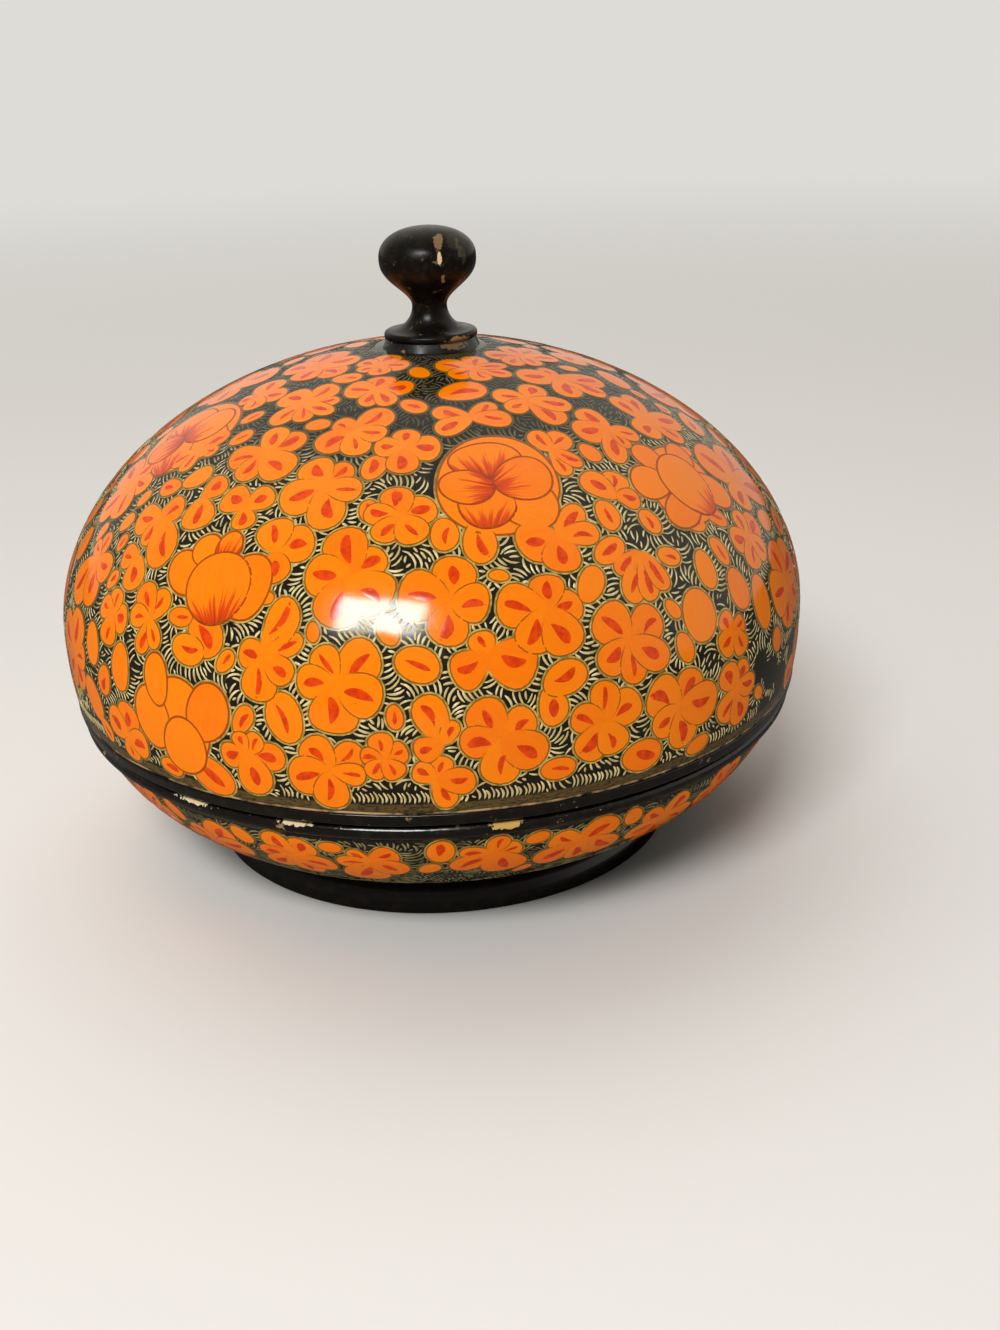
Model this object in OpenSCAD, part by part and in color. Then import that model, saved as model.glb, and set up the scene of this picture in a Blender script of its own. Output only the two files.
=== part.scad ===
// Round lidded box of pressed paper with a turned knob, lacquered and painted.
// The origin is the middle of the foot on the table, and +Z points up.
// Millimetres throughout.

/* [Body] */
// Radius of the widest circle, low on the lid
belly_r = 58.7; // [50:0.1:70]
// Height of the widest circle above the table
belly_z = 37.9; // [34:0.1:44]
// Rise of the crown above the widest circle
dome_h = 40.8; // [32:0.1:50]
// Fullness of the dome, where 2 is a plain ellipse
dome_power = 1.95; // [1.7:0.05:2.3]
// Fullness of the curve below the widest circle
bowl_power = 2.6; // [2.3:0.05:2.9]
// Height at which the bowl's curve would close if it were not flattened underneath
bowl_low_z = 0.7; // [0:0.1:1.5]
// Thickness of the pressed paper wall
wall = 3; // [2.4:0.1:3.8]

/* [Parting] */
// Height of the bowl's mouth, where the lid comes down
mouth_z = 25.3; // [22:0.1:29]
// How far the lid's curve stands proud of the bowl's
lid_proud = 0.4; // [0:0.05:0.8]
// Height of the edging hoop on the bowl
bowl_hoop_h = 2.2; // [1.4:0.1:3]
// Height of the edging hoop on the lid
lid_hoop_h = 1.8; // [1.2:0.1:2.6]
// Thickness of both hoops, let into the walls
hoop_t = 1.4; // [1:0.1:1.8]
// Swell of the bowl's hoop beyond the bowl's curve
bowl_hoop_proud = 0.3; // [0.1:0.05:0.6]
// Swell of the lid's hoop beyond the lid's curve
lid_hoop_proud = 0.15; // [0.1:0.05:0.6]
// How far each hoop stops short of the parting plane
hoop_relief = 0.3; // [0.1:0.05:0.5]

/* [Collar] */
// Thickness of the collar strip
collar_t = 1.6; // [1:0.1:2.2]
// Stand of the collar above the bowl's mouth
collar_stand = 5; // [3:0.1:8]
// Depth of the collar below the bowl's mouth
collar_depth = 7; // [4:0.1:9]
// Radial clearance of the lid over the collar
lid_clear = 0.4; // [0.2:0.05:0.8]

/* [Foot] */
// Outer radius of the foot ring on the table
foot_r = 37.8; // [34:0.1:40]
// Radial thickness of the foot ring
foot_t = 5; // [3:0.1:7]
// Rounding of the foot ring's outer edge on the table
foot_edge_r = 0.6; // [0.2:0.1:1]
// Height of the flat underside of the bowl above the table
underside_z = 4.6; // [4:0.1:5.2]

/* [Knob] */
// Distance of the knob from the box's axis, towards +X
knob_shift = 1.4; // [0:0.1:3]
// Depth of the flat cut into the crown for the knob
seat_sink = 0.6; // [0.5:0.05:1.2]
// How far the glue and filler seat spreads beyond the knob's flange at its foot
seat_spread = 0.2; // [0.1:0.05:0.5]
// How far the seat's upper edge draws in under the flange
seat_draw = 0.3; // [0.1:0.05:0.8]
// Thickness of the seat
seat_h = 1.5; // [0.8:0.05:2]
// Radius of the knob's flange
flange_r = 7.1; // [6.4:0.05:8]
// Thickness of the flange's edge
flange_h = 1; // [0.7:0.05:1.5]
// Rounding of the flange's upper edge
flange_edge_r = 0.55; // [0.3:0.05:0.6]
// Rise of the hollow sweep from the flange to the neck
sweep_h = 3.65; // [2:0.05:4.5]
// Radius of the neck
neck_r = 2.65; // [2.4:0.05:3.4]
// Radius of the bulb
bulb_r = 7.35; // [6:0.05:9]
// Height from the top of the hollow sweep to the bulb's widest circle
bulb_low_h = 7.1; // [5.5:0.05:9]
// Height from the bulb's widest circle to its top
bulb_top_h = 4.55; // [3.5:0.05:6]
// Fullness of the bulb's top, where 2 is a plain ellipse
bulb_power = 2.2; // [2:0.05:2.6]
// Radius of the pin that holds the knob
pin_r = 1.4; // [1:0.05:1.8]
// Depth of the pin inside the knob
pin_up = 8; // [5:0.1:11]
// Stand of the pin's end inside the lid
pin_down = 0.8; // [0.3:0.1:2]

/* [Hidden] */
// Film of glue between parts that are let into or lapped on each other
glue = 0.05;
// Extra length of a cut past the face that it opens
over = 1;
// Steps along each curve
curve_steps = 36;
hoop_steps = 12;
lap_steps = 8;
edge_steps = 6;
// How full the knob's bulb stays before it draws in to the neck, where 1 is a plain wave
draw_power = 1.3;
$fn = 128;

crown_z = belly_z + dome_h;
low_h = belly_z - bowl_low_z;
bowl_r = belly_r - lid_proud;
floor_z = underside_z + wall;
seat_r = flange_r + seat_spread;
seat_top_r = flange_r - seat_draw;
seat_z = crown_z - seat_sink;
knob_z = seat_z + seat_h;
bowl_hoop_top = mouth_z - hoop_relief;
bowl_hoop_low = bowl_hoop_top - bowl_hoop_h;
lid_hoop_low = mouth_z + hoop_relief;
lid_hoop_top = lid_hoop_low + lid_hoop_h;
collar_low = mouth_z - collar_depth;
collar_top = mouth_z + collar_stand;

// Radius at height z of the curve below the belly, for a belly of radius r that closes h lower
function low_r(r, h, z) = r * pow(1 - pow((belly_z - z) / h, bowl_power), 1 / bowl_power);

// Height on the same curve at radius q
function low_z(r, h, q) = belly_z - h * pow(1 - pow(q / r, bowl_power), 1 / bowl_power);

// Height of the inside of the lid's crown at radius q
function dome_in_z(q) =
    belly_z + (dome_h - wall) * pow(1 - pow(q / (belly_r - wall), dome_power), 1 / dome_power);

// Angle along a superellipse of the given power at the height share u
function share_angle(u, power) = asin(pow(u, power / 2));

// Points of the curve below the belly, from height a to height b
function low_points(r, h, a, b, steps) =
    let (
        from = share_angle((belly_z - a) / h, bowl_power),
        to = share_angle((belly_z - b) / h, bowl_power)
    )
    [
        for (i = [0:steps])
            let (t = from + (to - from) * i / steps)
            [r * pow(cos(t), 2 / bowl_power), belly_z - h * pow(sin(t), 2 / bowl_power)]
    ];

// Points of the dome from the belly to the crown, without the belly's own point
function dome_points(r, h, steps) =
    [
        for (i = [1:steps])
            let (t = 90 * i / steps)
            [r * pow(cos(t), 2 / dome_power), belly_z + h * pow(sin(t), 2 / dome_power)]
    ];

// The same points in the other order
function reversed(points) = [for (i = [len(points) - 1:-1:0]) points[i]];

// Outer face of a hoop between two heights: the body's curve with a half-round swell on it
function hoop_face(r, proud, low, high) =
    [
        for (i = [0:hoop_steps])
            let (t = 180 * i / hoop_steps, z = low + (high - low) * (1 - cos(t)) / 2)
            [low_r(r, low_h, z) + proud * sin(t), z]
    ];

lid_mouth_r = low_r(belly_r - wall, low_h - wall, mouth_z);
collar_r = lid_mouth_r - lid_clear;
// The inside of the bowl meets the collar, and is narrower than the lid's by the collar's clearance
bowl_in_r = (collar_r + glue) / low_r(1, low_h - wall, mouth_z);
bowl_rebate_r = low_r(bowl_r, low_h, mouth_z) - hoop_t;
lid_rebate_r = low_r(belly_r, low_h, mouth_z) - hoop_t;

// Where the knob stands on the lid, at height z
module at_knob(z) {
    translate([knob_shift, 0, z])
        children();
}

// Lower shell: curved wall, flat floor, and a rebate round the mouth for its hoop
module bowl_shell() {
    outside = low_points(bowl_r, low_h, bowl_hoop_low, underside_z, curve_steps);
    inside_low = low_points(bowl_in_r, low_h - wall, floor_z, collar_low, curve_steps);
    inside_lap = low_points(bowl_in_r, low_h - wall, collar_low, mouth_z, lap_steps);
    rim = [[bowl_rebate_r, mouth_z], [bowl_rebate_r, bowl_hoop_low]];
    color([0.86, 0.42, 0.10])
        rotate_extrude()
            polygon(concat([[0, underside_z], [0, floor_z]], inside_low, inside_lap, rim, outside));
}

// Ring of pressed paper that the bowl stands on, lapped to the bowl's curve
module foot_ring() {
    inner_r = foot_r - foot_t;
    lap = [
        for (i = [0:lap_steps])
            let (q = inner_r + foot_t * i / lap_steps)
            [q, max(underside_z, low_z(bowl_r, low_h, q)) - glue]
    ];
    edge = [
        for (i = [0:edge_steps])
            let (t = -90 * i / edge_steps)
            [foot_r - foot_edge_r * (1 - cos(t)), foot_edge_r * (1 + sin(t))]
    ];
    color([0.07, 0.06, 0.05])
        rotate_extrude()
            polygon(concat([[inner_r, 0]], lap, edge));
}

// Half-round edging let into the outside of the bowl's mouth
module bowl_rim_hoop() {
    back = [[bowl_rebate_r + glue, bowl_hoop_top], [bowl_rebate_r + glue, bowl_hoop_low]];
    color([0.05, 0.05, 0.04])
        rotate_extrude()
            polygon(concat(hoop_face(bowl_r, bowl_hoop_proud, bowl_hoop_low, bowl_hoop_top), back));
}

// Pasteboard strip glued inside the bowl's mouth, which the lid drops over
module mouth_collar() {
    lap = [
        for (p = low_points(bowl_in_r, low_h - wall, collar_low, mouth_z, lap_steps))
            [p[0] - glue, p[1]]
    ];
    stand = [[collar_r, collar_top], [collar_r - collar_t, collar_top]];
    inner = [for (p = reversed(lap)) [p[0] - collar_t, p[1]]];
    color([0.09, 0.07, 0.06])
        rotate_extrude()
            polygon(concat(lap, stand, inner));
}

// Domed shell with a rebate for its hoop, a flat for the knob and a hole for the pin
module lid_shell() {
    outside_low = low_points(belly_r, low_h, lid_hoop_top, belly_z, curve_steps);
    inside_low = low_points(belly_r - wall, low_h - wall, mouth_z, belly_z, curve_steps);
    outside = concat(outside_low, dome_points(belly_r, dome_h, curve_steps));
    inside = concat(inside_low, dome_points(belly_r - wall, dome_h - wall, curve_steps));
    rim = [[lid_rebate_r, mouth_z], [lid_rebate_r, lid_hoop_top]];
    color([0.90, 0.45, 0.10])
        difference() {
            rotate_extrude()
                polygon(concat(rim, outside, reversed(inside)));
            at_knob(seat_z)
                cylinder(r = seat_r + glue, h = seat_sink + over);
            at_knob(seat_z - wall - over)
                cylinder(r = pin_r + glue, h = wall + 2 * over);
        }
}

// Half-round edging let into the outside of the lid's mouth
module lid_rim_hoop() {
    back = [[lid_rebate_r + glue, lid_hoop_top], [lid_rebate_r + glue, lid_hoop_low]];
    color([0.05, 0.05, 0.04])
        rotate_extrude()
            polygon(concat(hoop_face(belly_r, lid_hoop_proud, lid_hoop_low, lid_hoop_top), back));
}

// Washer of glue and filler that beds the knob on the crown
module knob_seat() {
    color([0.55, 0.38, 0.20])
        at_knob(seat_z)
            difference() {
                cylinder(r1 = seat_r, r2 = seat_top_r, h = seat_h);
                translate([0, 0, -over])
                    cylinder(r = pin_r + glue, h = seat_h + 2 * over);
            }
}

// Turned wooden knob: flange, hollow sweep, neck and bulb, with a blind hole for the pin
module knob() {
    sweep_r = flange_r - flange_edge_r - neck_r;
    bulb_z = flange_h + sweep_h + bulb_low_h;
    edge = [
        for (i = [0:edge_steps])
            let (t = 90 * i / edge_steps)
            [flange_r - flange_edge_r * (1 - cos(t)), flange_h - flange_edge_r * (1 - sin(t))]
    ];
    sweep = [
        for (i = [1:hoop_steps])
            let (t = 90 - 90 * i / hoop_steps)
            [neck_r + sweep_r * (1 - cos(t)), flange_h + sweep_h * (1 - sin(t))]
    ];
    // From the neck up to the widest circle the radius follows a squared cosine of the fall below it
    bulb_low = [
        for (i = [1:curve_steps])
            let (fall = 1 - i / curve_steps, swell = pow(cos(90 * pow(fall, draw_power)), 2))
            [neck_r + (bulb_r - neck_r) * swell, bulb_z - bulb_low_h * fall]
    ];
    bulb_top = [
        for (i = [1:curve_steps])
            let (t = 90 * i / curve_steps)
            [bulb_r * pow(cos(t), 2 / bulb_power), bulb_z + bulb_top_h * pow(sin(t), 2 / bulb_power)]
    ];
    color([0.08, 0.06, 0.05])
        at_knob(knob_z)
            difference() {
                rotate_extrude()
                    polygon(concat([[0, 0], [flange_r, 0]], edge, sweep, bulb_low, bulb_top));
                translate([0, 0, -over])
                    cylinder(r = pin_r + glue, h = pin_up + glue + over);
            }
}

// Wooden pin through the crown and the seat, up into the knob
module knob_pin() {
    low = dome_in_z(knob_shift) - pin_down;
    color([0.72, 0.56, 0.36])
        at_knob(low)
            cylinder(r = pin_r, h = knob_z + pin_up - low);
}

bowl_shell();
foot_ring();
bowl_rim_hoop();
mouth_collar();
lid_shell();
lid_rim_hoop();
knob_seat();
knob();
knob_pin();
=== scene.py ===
# Round lidded box of pressed paper: black lacquer, orange flowers with gold margins, glossy varnish.
# Metres throughout. -Y is the front, and longitudes run from the front towards +X.
import math

import bpy
import numpy as np
from mathutils import Matrix, Vector


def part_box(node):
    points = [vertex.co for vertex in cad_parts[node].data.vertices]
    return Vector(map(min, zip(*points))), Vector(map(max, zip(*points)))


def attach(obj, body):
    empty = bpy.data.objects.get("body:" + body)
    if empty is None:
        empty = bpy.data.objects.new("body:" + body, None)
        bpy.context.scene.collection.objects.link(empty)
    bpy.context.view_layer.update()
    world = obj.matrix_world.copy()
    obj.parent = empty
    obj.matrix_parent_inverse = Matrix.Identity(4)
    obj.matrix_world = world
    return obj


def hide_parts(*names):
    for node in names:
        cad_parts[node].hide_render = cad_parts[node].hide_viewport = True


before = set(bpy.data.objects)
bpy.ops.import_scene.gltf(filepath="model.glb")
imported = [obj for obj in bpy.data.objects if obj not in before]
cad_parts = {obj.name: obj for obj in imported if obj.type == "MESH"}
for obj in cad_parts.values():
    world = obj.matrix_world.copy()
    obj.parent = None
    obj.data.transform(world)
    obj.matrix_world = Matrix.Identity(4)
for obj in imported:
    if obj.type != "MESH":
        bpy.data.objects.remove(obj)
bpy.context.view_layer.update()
mm = 0.001
dice = np.random.default_rng(11)

# The camera stands where the photograph was taken from
viewpoint = dict(
    place=(10.3 * mm, -245.6 * mm, 126.4 * mm),
    pitch=0.393,            # down from the horizon, in radians
    roll=0.033,             # the photograph leans a little
    lens=43.3,              # for a sensor 36 mm wide along the picture's longer side
)


def addCamera():
    # The picture's right and down directions are the level ones turned by the roll
    pitch, roll = viewpoint["pitch"], viewpoint["roll"]
    forward = Vector((0, math.cos(pitch), -math.sin(pitch)))
    right = Vector((1, 0, 0))
    down = Vector((0, -math.sin(pitch), -math.cos(pitch)))
    pictureRight = math.cos(roll) * right + math.sin(roll) * down
    pictureDown = math.cos(roll) * down - math.sin(roll) * right
    turn = Matrix((pictureRight, -pictureDown, -forward)).transposed()
    data = bpy.data.cameras.new("camera")
    data.lens = viewpoint["lens"]
    data.sensor_width = 36
    data.clip_start = 0.01
    camera = bpy.data.objects.new("camera", data)
    camera.matrix_world = Matrix.Translation(viewpoint["place"]) @ turn.to_4x4()
    bpy.context.scene.collection.objects.link(camera)
    bpy.context.scene.camera = camera


addCamera()
print("camera set")

# The box's curve, which the shells, the hoops and the paint all follow
lidLow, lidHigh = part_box("lid_shell")
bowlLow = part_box("bowl_shell")[0]
curve = dict(
    bellyHeight=37.9 * mm,
    domeRise=40.8 * mm,
    domePower=1.95,
    lowDepth=37.2 * mm,
    lowPower=2.6,
    bowlStep=0.4 * mm,      # the bowl is this much narrower than the lid
    inset=0.12 * mm,        # the black ground lies under the box's true surface, to leave room for the paint
)


def skinSlope(points, belly):
    # Superellipse of revolution: (radius / belly)^p + (rise / reach)^p = 1, with one power above
    # the belly and another below. Gives its value and its slope along X, Y and Z
    radius = np.maximum(np.hypot(points[..., 0], points[..., 1]), 1e-9)
    rise = points[..., 2] - curve["bellyHeight"]
    above = rise >= 0
    power = np.where(above, curve["domePower"], curve["lowPower"])
    reach = np.where(above, curve["domeRise"], curve["lowDepth"]) - curve["inset"]
    value = (radius / belly) ** power + (np.abs(rise) / reach) ** power - 1
    outward = power * radius ** (power - 1) / belly ** power
    upward = np.sign(rise) * power * np.abs(rise) ** (power - 1) / reach ** power
    slope = np.stack([outward * points[..., 0] / radius, outward * points[..., 1] / radius, upward], -1)
    return value, slope


def unit(vectors):
    return vectors / np.linalg.norm(vectors, axis=-1, keepdims=True)


def normalAt(skin, points):
    return unit(skinSlope(points, skin["belly"])[1])


def flattened(vectors, normal):
    # Directions laid down into the skin
    return unit(vectors - (vectors * normal).sum(-1, keepdims=True) * normal)


def settle(skin, points, direction, lift=0.0):
    # Slides points along a direction on to the skin by Newton's steps, then lifts them along its normal
    for _ in range(5):
        value, slope = skinSlope(points, skin["belly"])
        points = points - (value / (slope * direction).sum(-1))[..., None] * direction
    normal = normalAt(skin, points)
    return points + normal * np.asarray(lift)[..., None], normal


def domeArc(belly, rise, t):
    # Radius = belly * cos(t)^(2/p) and height = belly's + rise * sin(t)^(2/p), from the belly at 0
    height = curve["bellyHeight"] + rise * np.sin(t) ** (2 / curve["domePower"])
    return np.stack([belly * np.cos(t) ** (2 / curve["domePower"]), height], 1)


def lowArc(belly, depth, t):
    # The same downwards, with the lower power
    height = curve["bellyHeight"] - depth * np.sin(t) ** (2 / curve["lowPower"])
    return np.stack([belly * np.cos(t) ** (2 / curve["lowPower"]), height], 1)


def lowRadius(belly, depth, height):
    # Radius = belly * (1 - (fall / depth)^p)^(1/p), where the fall is counted down from the belly
    share = (curve["bellyHeight"] - height) / depth
    return belly * (1 - share ** curve["lowPower"]) ** (1 / curve["lowPower"])


def lowPoints(belly, depth, high, low, steps):
    # Points (radius, height) on the curve below the belly between two heights
    share = (curve["bellyHeight"] - np.array([high, low])) / depth
    ends = np.arcsin(share ** (curve["lowPower"] / 2))
    return lowArc(belly, depth, np.linspace(ends[0], ends[1], steps))


def domePoints(belly, rise, steps):
    # Points from the belly up to the crown, with the last on the axis
    points = domeArc(belly, rise, np.linspace(0, math.pi / 2, steps))
    points[-1, 0] = 0
    return points


def meridian(belly):
    # Points down one meridian from the crown, with the length along it
    dome = domeArc(belly, curve["domeRise"] - curve["inset"], np.linspace(math.pi / 2, 0, 900))
    low = lowArc(belly, curve["lowDepth"] - curve["inset"], np.linspace(0, 1.42, 500)[1:])
    radius, height = np.concatenate([dome, low]).T
    drop = np.concatenate([[0], np.cumsum(np.hypot(np.diff(radius), np.diff(height)))])
    return dict(belly=belly, radius=radius, height=height, drop=drop)


lidSkin = meridian(lidHigh.x - curve["inset"])
bowlSkin = meridian(lidHigh.x - curve["bowlStep"] - curve["inset"])


def dropAt(skin, height):
    return np.interp(-np.asarray(height), -skin["height"], skin["drop"])


def standOn(skin, longitude, drop):
    # Place on the skin with its east, up and outward directions, for arrays of longitude and drop
    turn = np.radians(longitude)
    radius = np.interp(drop, skin["drop"], skin["radius"])
    height = np.interp(drop, skin["drop"], skin["height"])
    place = np.stack([radius * np.sin(turn), -radius * np.cos(turn), height], -1)
    east = np.stack([np.cos(turn), np.sin(turn), 0 * turn], -1)
    out = normalAt(skin, place)
    return place, east, np.cross(out, east), out


def scattered(skin, start, end, tries):
    # Longitudes, drops and places strewn evenly over the skin between two drops
    longitude = dice.uniform(-180, 180, tries)
    drop = dice.uniform(start, end, tries)
    keep = dice.uniform(0, 1, tries) < np.interp(drop, skin["drop"], skin["radius"]) / skin["belly"]
    longitude, drop = longitude[keep], drop[keep]
    return longitude, drop, standOn(skin, longitude, drop)[0]


def makeMesh(name, points, faces, material, hardRings=(), body=None, slotName=None, stands=()):
    # Faces is a list of arrays of corners. Edges inside one hard ring stay crisp under smooth shading
    mesh = bpy.data.meshes.new(name)
    corners = [face for group in faces for face in np.asarray(group).tolist()]
    mesh.from_pydata(np.asarray(points).reshape(-1, 3).tolist(), [], corners)
    mesh.update(calc_edges=True)
    mesh.polygons.foreach_set("use_smooth", np.ones(len(mesh.polygons), bool))
    if len(hardRings):
        ends = np.zeros(len(mesh.edges) * 2, np.int32)
        mesh.edges.foreach_get("vertices", ends)
        ring = np.asarray(hardRings)[ends.reshape(-1, 2)]
        crisp = (ring[:, 0] > 0) & (ring[:, 0] == ring[:, 1])
        mesh.attributes.new("sharp_edge", "BOOLEAN", "EDGE").data.foreach_set("value", crisp)
    piece = bpy.data.objects.new(name, mesh)
    bpy.context.scene.collection.objects.link(piece)
    if body:
        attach(piece, body)
    if stands:
        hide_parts(*stands)
    mesh.materials.append(material)
    return piece


def putVectors(piece, name, values):
    attribute = piece.data.attributes.new(name, "FLOAT_VECTOR", "POINT")
    attribute.data.foreach_set("vector", np.asarray(values, np.float32).ravel())


def ringBand(low, high, sides):
    # Four-cornered faces between two rings of corners, given where each ring starts
    here = np.arange(sides)
    there = (here + 1) % sides
    return np.stack([low + here, low + there, high + there, high + here], 1)


def poleFan(ring, pole, sides):
    # Three-cornered faces between a ring of corners and one pole
    here = np.arange(sides)
    return np.stack([ring + here, ring + (here + 1) % sides, 0 * here + pole], 1)


def turned(name, profile, material, steps=256, centre=(0, 0), **where):
    # Surface of revolution: each point of a closed profile (radius, height) goes round the axis.
    # Points on the axis become one pole each
    profile = np.asarray(profile, float)
    turn = np.linspace(0, 2 * math.pi, steps, endpoint=False)
    onAxis = profile[:, 0] < 1e-7
    start = np.concatenate([[0], np.cumsum(np.where(onAxis, 1, steps))])
    rows = []
    for (radius, height), pole in zip(profile, onAxis):
        around = turn[:1] if pole else turn
        ring = np.stack([radius * np.cos(around), radius * np.sin(around), 0 * around + height], 1)
        rows.append(ring + np.array([centre[0], centre[1], 0]))
    faces = []
    for i in range(len(profile)):
        j = (i + 1) % len(profile)
        if onAxis[i] and onAxis[j]:
            continue
        if onAxis[i]:
            faces.append(poleFan(start[j], start[i], steps)[:, ::-1])
        elif onAxis[j]:
            faces.append(poleFan(start[i], start[j], steps))
        else:
            faces.append(ringBand(start[i], start[j], steps))
    return makeMesh(name, np.concatenate(rows), faces, material, **where)


def paint(red, green, blue):
    # A colour as a painter's card gives it, turned into the linear light that shaders use
    card = np.array([red, green, blue]) / 255
    linear = np.where(card <= 0.04045, card / 12.92, ((card + 0.055) / 1.055) ** 2.4)
    return (*linear.tolist(), 1)


class Bench:
    # A node tree with short calls: each puts a node down and returns its output. The scale of a noise
    # counts its cells in one unit of the vector, mostly a metre
    def __init__(self, tree):
        self.tree = tree

    def put(self, kind, **settings):
        node = self.tree.nodes.new(kind)
        for key, value in settings.items():
            setattr(node, key, value)
        return node

    def feed(self, socket, value):
        if isinstance(value, bpy.types.NodeSocket):
            self.tree.links.new(value, socket)
        else:
            socket.default_value = value

    def work(self, kind, values, **settings):
        node = self.put(kind, **settings)
        for socket, value in zip(node.inputs, values):
            self.feed(socket, value)
        return node.outputs

    def maths(self, operation, *values):
        return self.work("ShaderNodeMath", values, operation=operation)[0]

    def plus(self, one, other):
        return self.maths("ADD", one, other)

    def minus(self, one, other):
        return self.maths("SUBTRACT", one, other)

    def times(self, one, other):
        return self.maths("MULTIPLY", one, other)

    def stretch(self, vector, scale):
        return self.work("ShaderNodeVectorMath", (vector, scale), operation="MULTIPLY")[0]

    def length(self, vector):
        return self.work("ShaderNodeVectorMath", (vector,), operation="LENGTH")["Value"]

    def combine(self, *values):
        return self.work("ShaderNodeCombineXYZ", values)[0]

    def split(self, vector):
        return self.work("ShaderNodeSeparateXYZ", (vector,))

    def step(self, value, low, high):
        node = self.put("ShaderNodeMapRange", interpolation_type="SMOOTHSTEP")
        for name, given in (("Value", value), ("From Min", low), ("From Max", high)):
            self.feed(node.inputs[name], given)
        return node.outputs[0]

    def blend(self, share, one, other):
        node = self.put("ShaderNodeMix", data_type="RGBA")
        for name, given in (("Factor", share), ("A", one), ("B", other)):
            self.feed(node.inputs[name], given)
        return node.outputs["Result"]

    def place(self):
        return self.put("ShaderNodeTexCoord").outputs["Object"]

    def height(self, place):
        return self.maths("DIVIDE", self.split(place)[2], mm)

    def values(self, name):
        return self.put("ShaderNodeAttribute", attribute_name=name).outputs["Vector"]

    def noise(self, vector, scale, detail=2.0, rough=0.5):
        node = self.put("ShaderNodeTexNoise")
        for name, given in (("Vector", vector), ("Scale", scale), ("Detail", detail), ("Roughness", rough)):
            self.feed(node.inputs[name], given)
        return node.outputs["Fac"]

    def group(self, tree, **given):
        node = self.put("ShaderNodeGroup", node_tree=tree)
        for name, value in given.items():
            self.feed(node.inputs[name], value)
        return node.outputs


def newGroup(name, inputs, outputs):
    tree = bpy.data.node_groups.new(name, "ShaderNodeTree")
    for label, kind, start in inputs:
        socket = tree.interface.new_socket(label, in_out="INPUT", socket_type="NodeSocket" + kind)
        if start is not None:
            socket.default_value = start
    for label in outputs:
        tree.interface.new_socket(label, in_out="OUTPUT", socket_type="NodeSocketFloat")
    bench = Bench(tree)
    return bench, bench.put("NodeGroupInput").outputs, bench.put("NodeGroupOutput").inputs, tree


def makeVarnishGroup():
    # Height of brushed varnish: slow swells, fine orange peel and a few dust nibs, in shares of one
    bench, _, made, tree = newGroup("varnishFilm", [], ["Height", "Haze"])
    where = bench.place()
    swell = bench.noise(where, 120.0, 1.0)
    peel = bench.noise(where, 900.0, 2.0)
    nibs = bench.step(bench.noise(where, 1500.0, 0.0), 0.74, 0.8)
    height = bench.plus(bench.times(swell, 2.5), bench.times(peel, 0.35))
    bench.feed(made["Height"], bench.plus(height, bench.times(nibs, 0.3)))
    bench.feed(made["Haze"], bench.step(bench.noise(where, 60.0, 4.0, 0.6), 0.35, 0.75))
    return tree


def makeBrushGroup():
    # Brush marks: a fine grain drawn out along one direction, and slow changes of how thick the paint lies
    bench, given, made, tree = newGroup(
        "brushMarks", [("Vector", "Vector", None), ("Seed", "Float", 0.0)], ["Strokes", "Load"])
    drawn = bench.stretch(given["Vector"], (0.35, 2.6, 1.0))
    shift = bench.combine(0.0, 0.0, bench.times(given["Seed"], 57.0))
    moved = bench.work("ShaderNodeVectorMath", (drawn, shift), operation="ADD")[0]
    bench.feed(made["Strokes"], bench.noise(moved, 1.6, 3.0, 0.6))
    bench.feed(made["Load"], bench.noise(moved, 0.45, 1.0))
    return tree


def makeWearGroup():
    # Rubbed places: a mask where coarse and fine noise together pass a limit
    bench, given, made, tree = newGroup(
        "rubbedWear", [("Scale", "Float", 300.0), ("Limit", "Float", 0.62)], ["Mask"])
    where = bench.place()
    coarse = bench.noise(where, given["Scale"], 3.0, 0.6)
    fine = bench.noise(where, bench.times(given["Scale"], 5.0), 2.0, 0.6)
    both = bench.plus(coarse, bench.times(bench.minus(fine, 0.5), 0.35))
    bench.feed(made["Mask"], bench.step(both, given["Limit"], bench.plus(given["Limit"], 0.05)))
    return tree


varnishFilm = makeVarnishGroup()
brushMarks = makeBrushGroup()
rubbedWear = makeWearGroup()


def newMaterial(name, roughness):
    material = bpy.data.materials.new(name)
    material.use_nodes = True
    shader = material.node_tree.nodes["Principled BSDF"]
    shader.inputs["Roughness"].default_value = roughness
    shader.inputs["IOR"].default_value = 1.5
    return material, Bench(material.node_tree), shader


def varnish(bench, shader, low, high, strength=0.12, under=None):
    # Varnish over everything: its haze sets the roughness, and its film the bump
    film = bench.group(varnishFilm)
    spread = bench.put("ShaderNodeMapRange")
    for name, given in (("Value", film["Haze"]), ("To Min", low), ("To Max", high)):
        bench.feed(spread.inputs[name], given)
    bench.feed(shader.inputs["Roughness"], spread.outputs[0])
    height = film["Height"] if under is None else bench.plus(film["Height"], under)
    bump = bench.put("ShaderNodeBump")
    bump.inputs["Strength"].default_value = strength
    bump.inputs["Distance"].default_value = 0.1 * mm
    bench.feed(bump.inputs["Height"], height)
    bench.feed(shader.inputs["Normal"], bump.outputs["Normal"])


petalColours = dict(
    orange=paint(255, 132, 2),
    deep=paint(252, 119, 2),
    light=paint(255, 146, 20),
    red=paint(212, 58, 8),
    dark=paint(104, 24, 6),
    outline=paint(92, 74, 18),
    seam=paint(150, 84, 14),
    bloomLine=paint(146, 52, 8),
)


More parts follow.
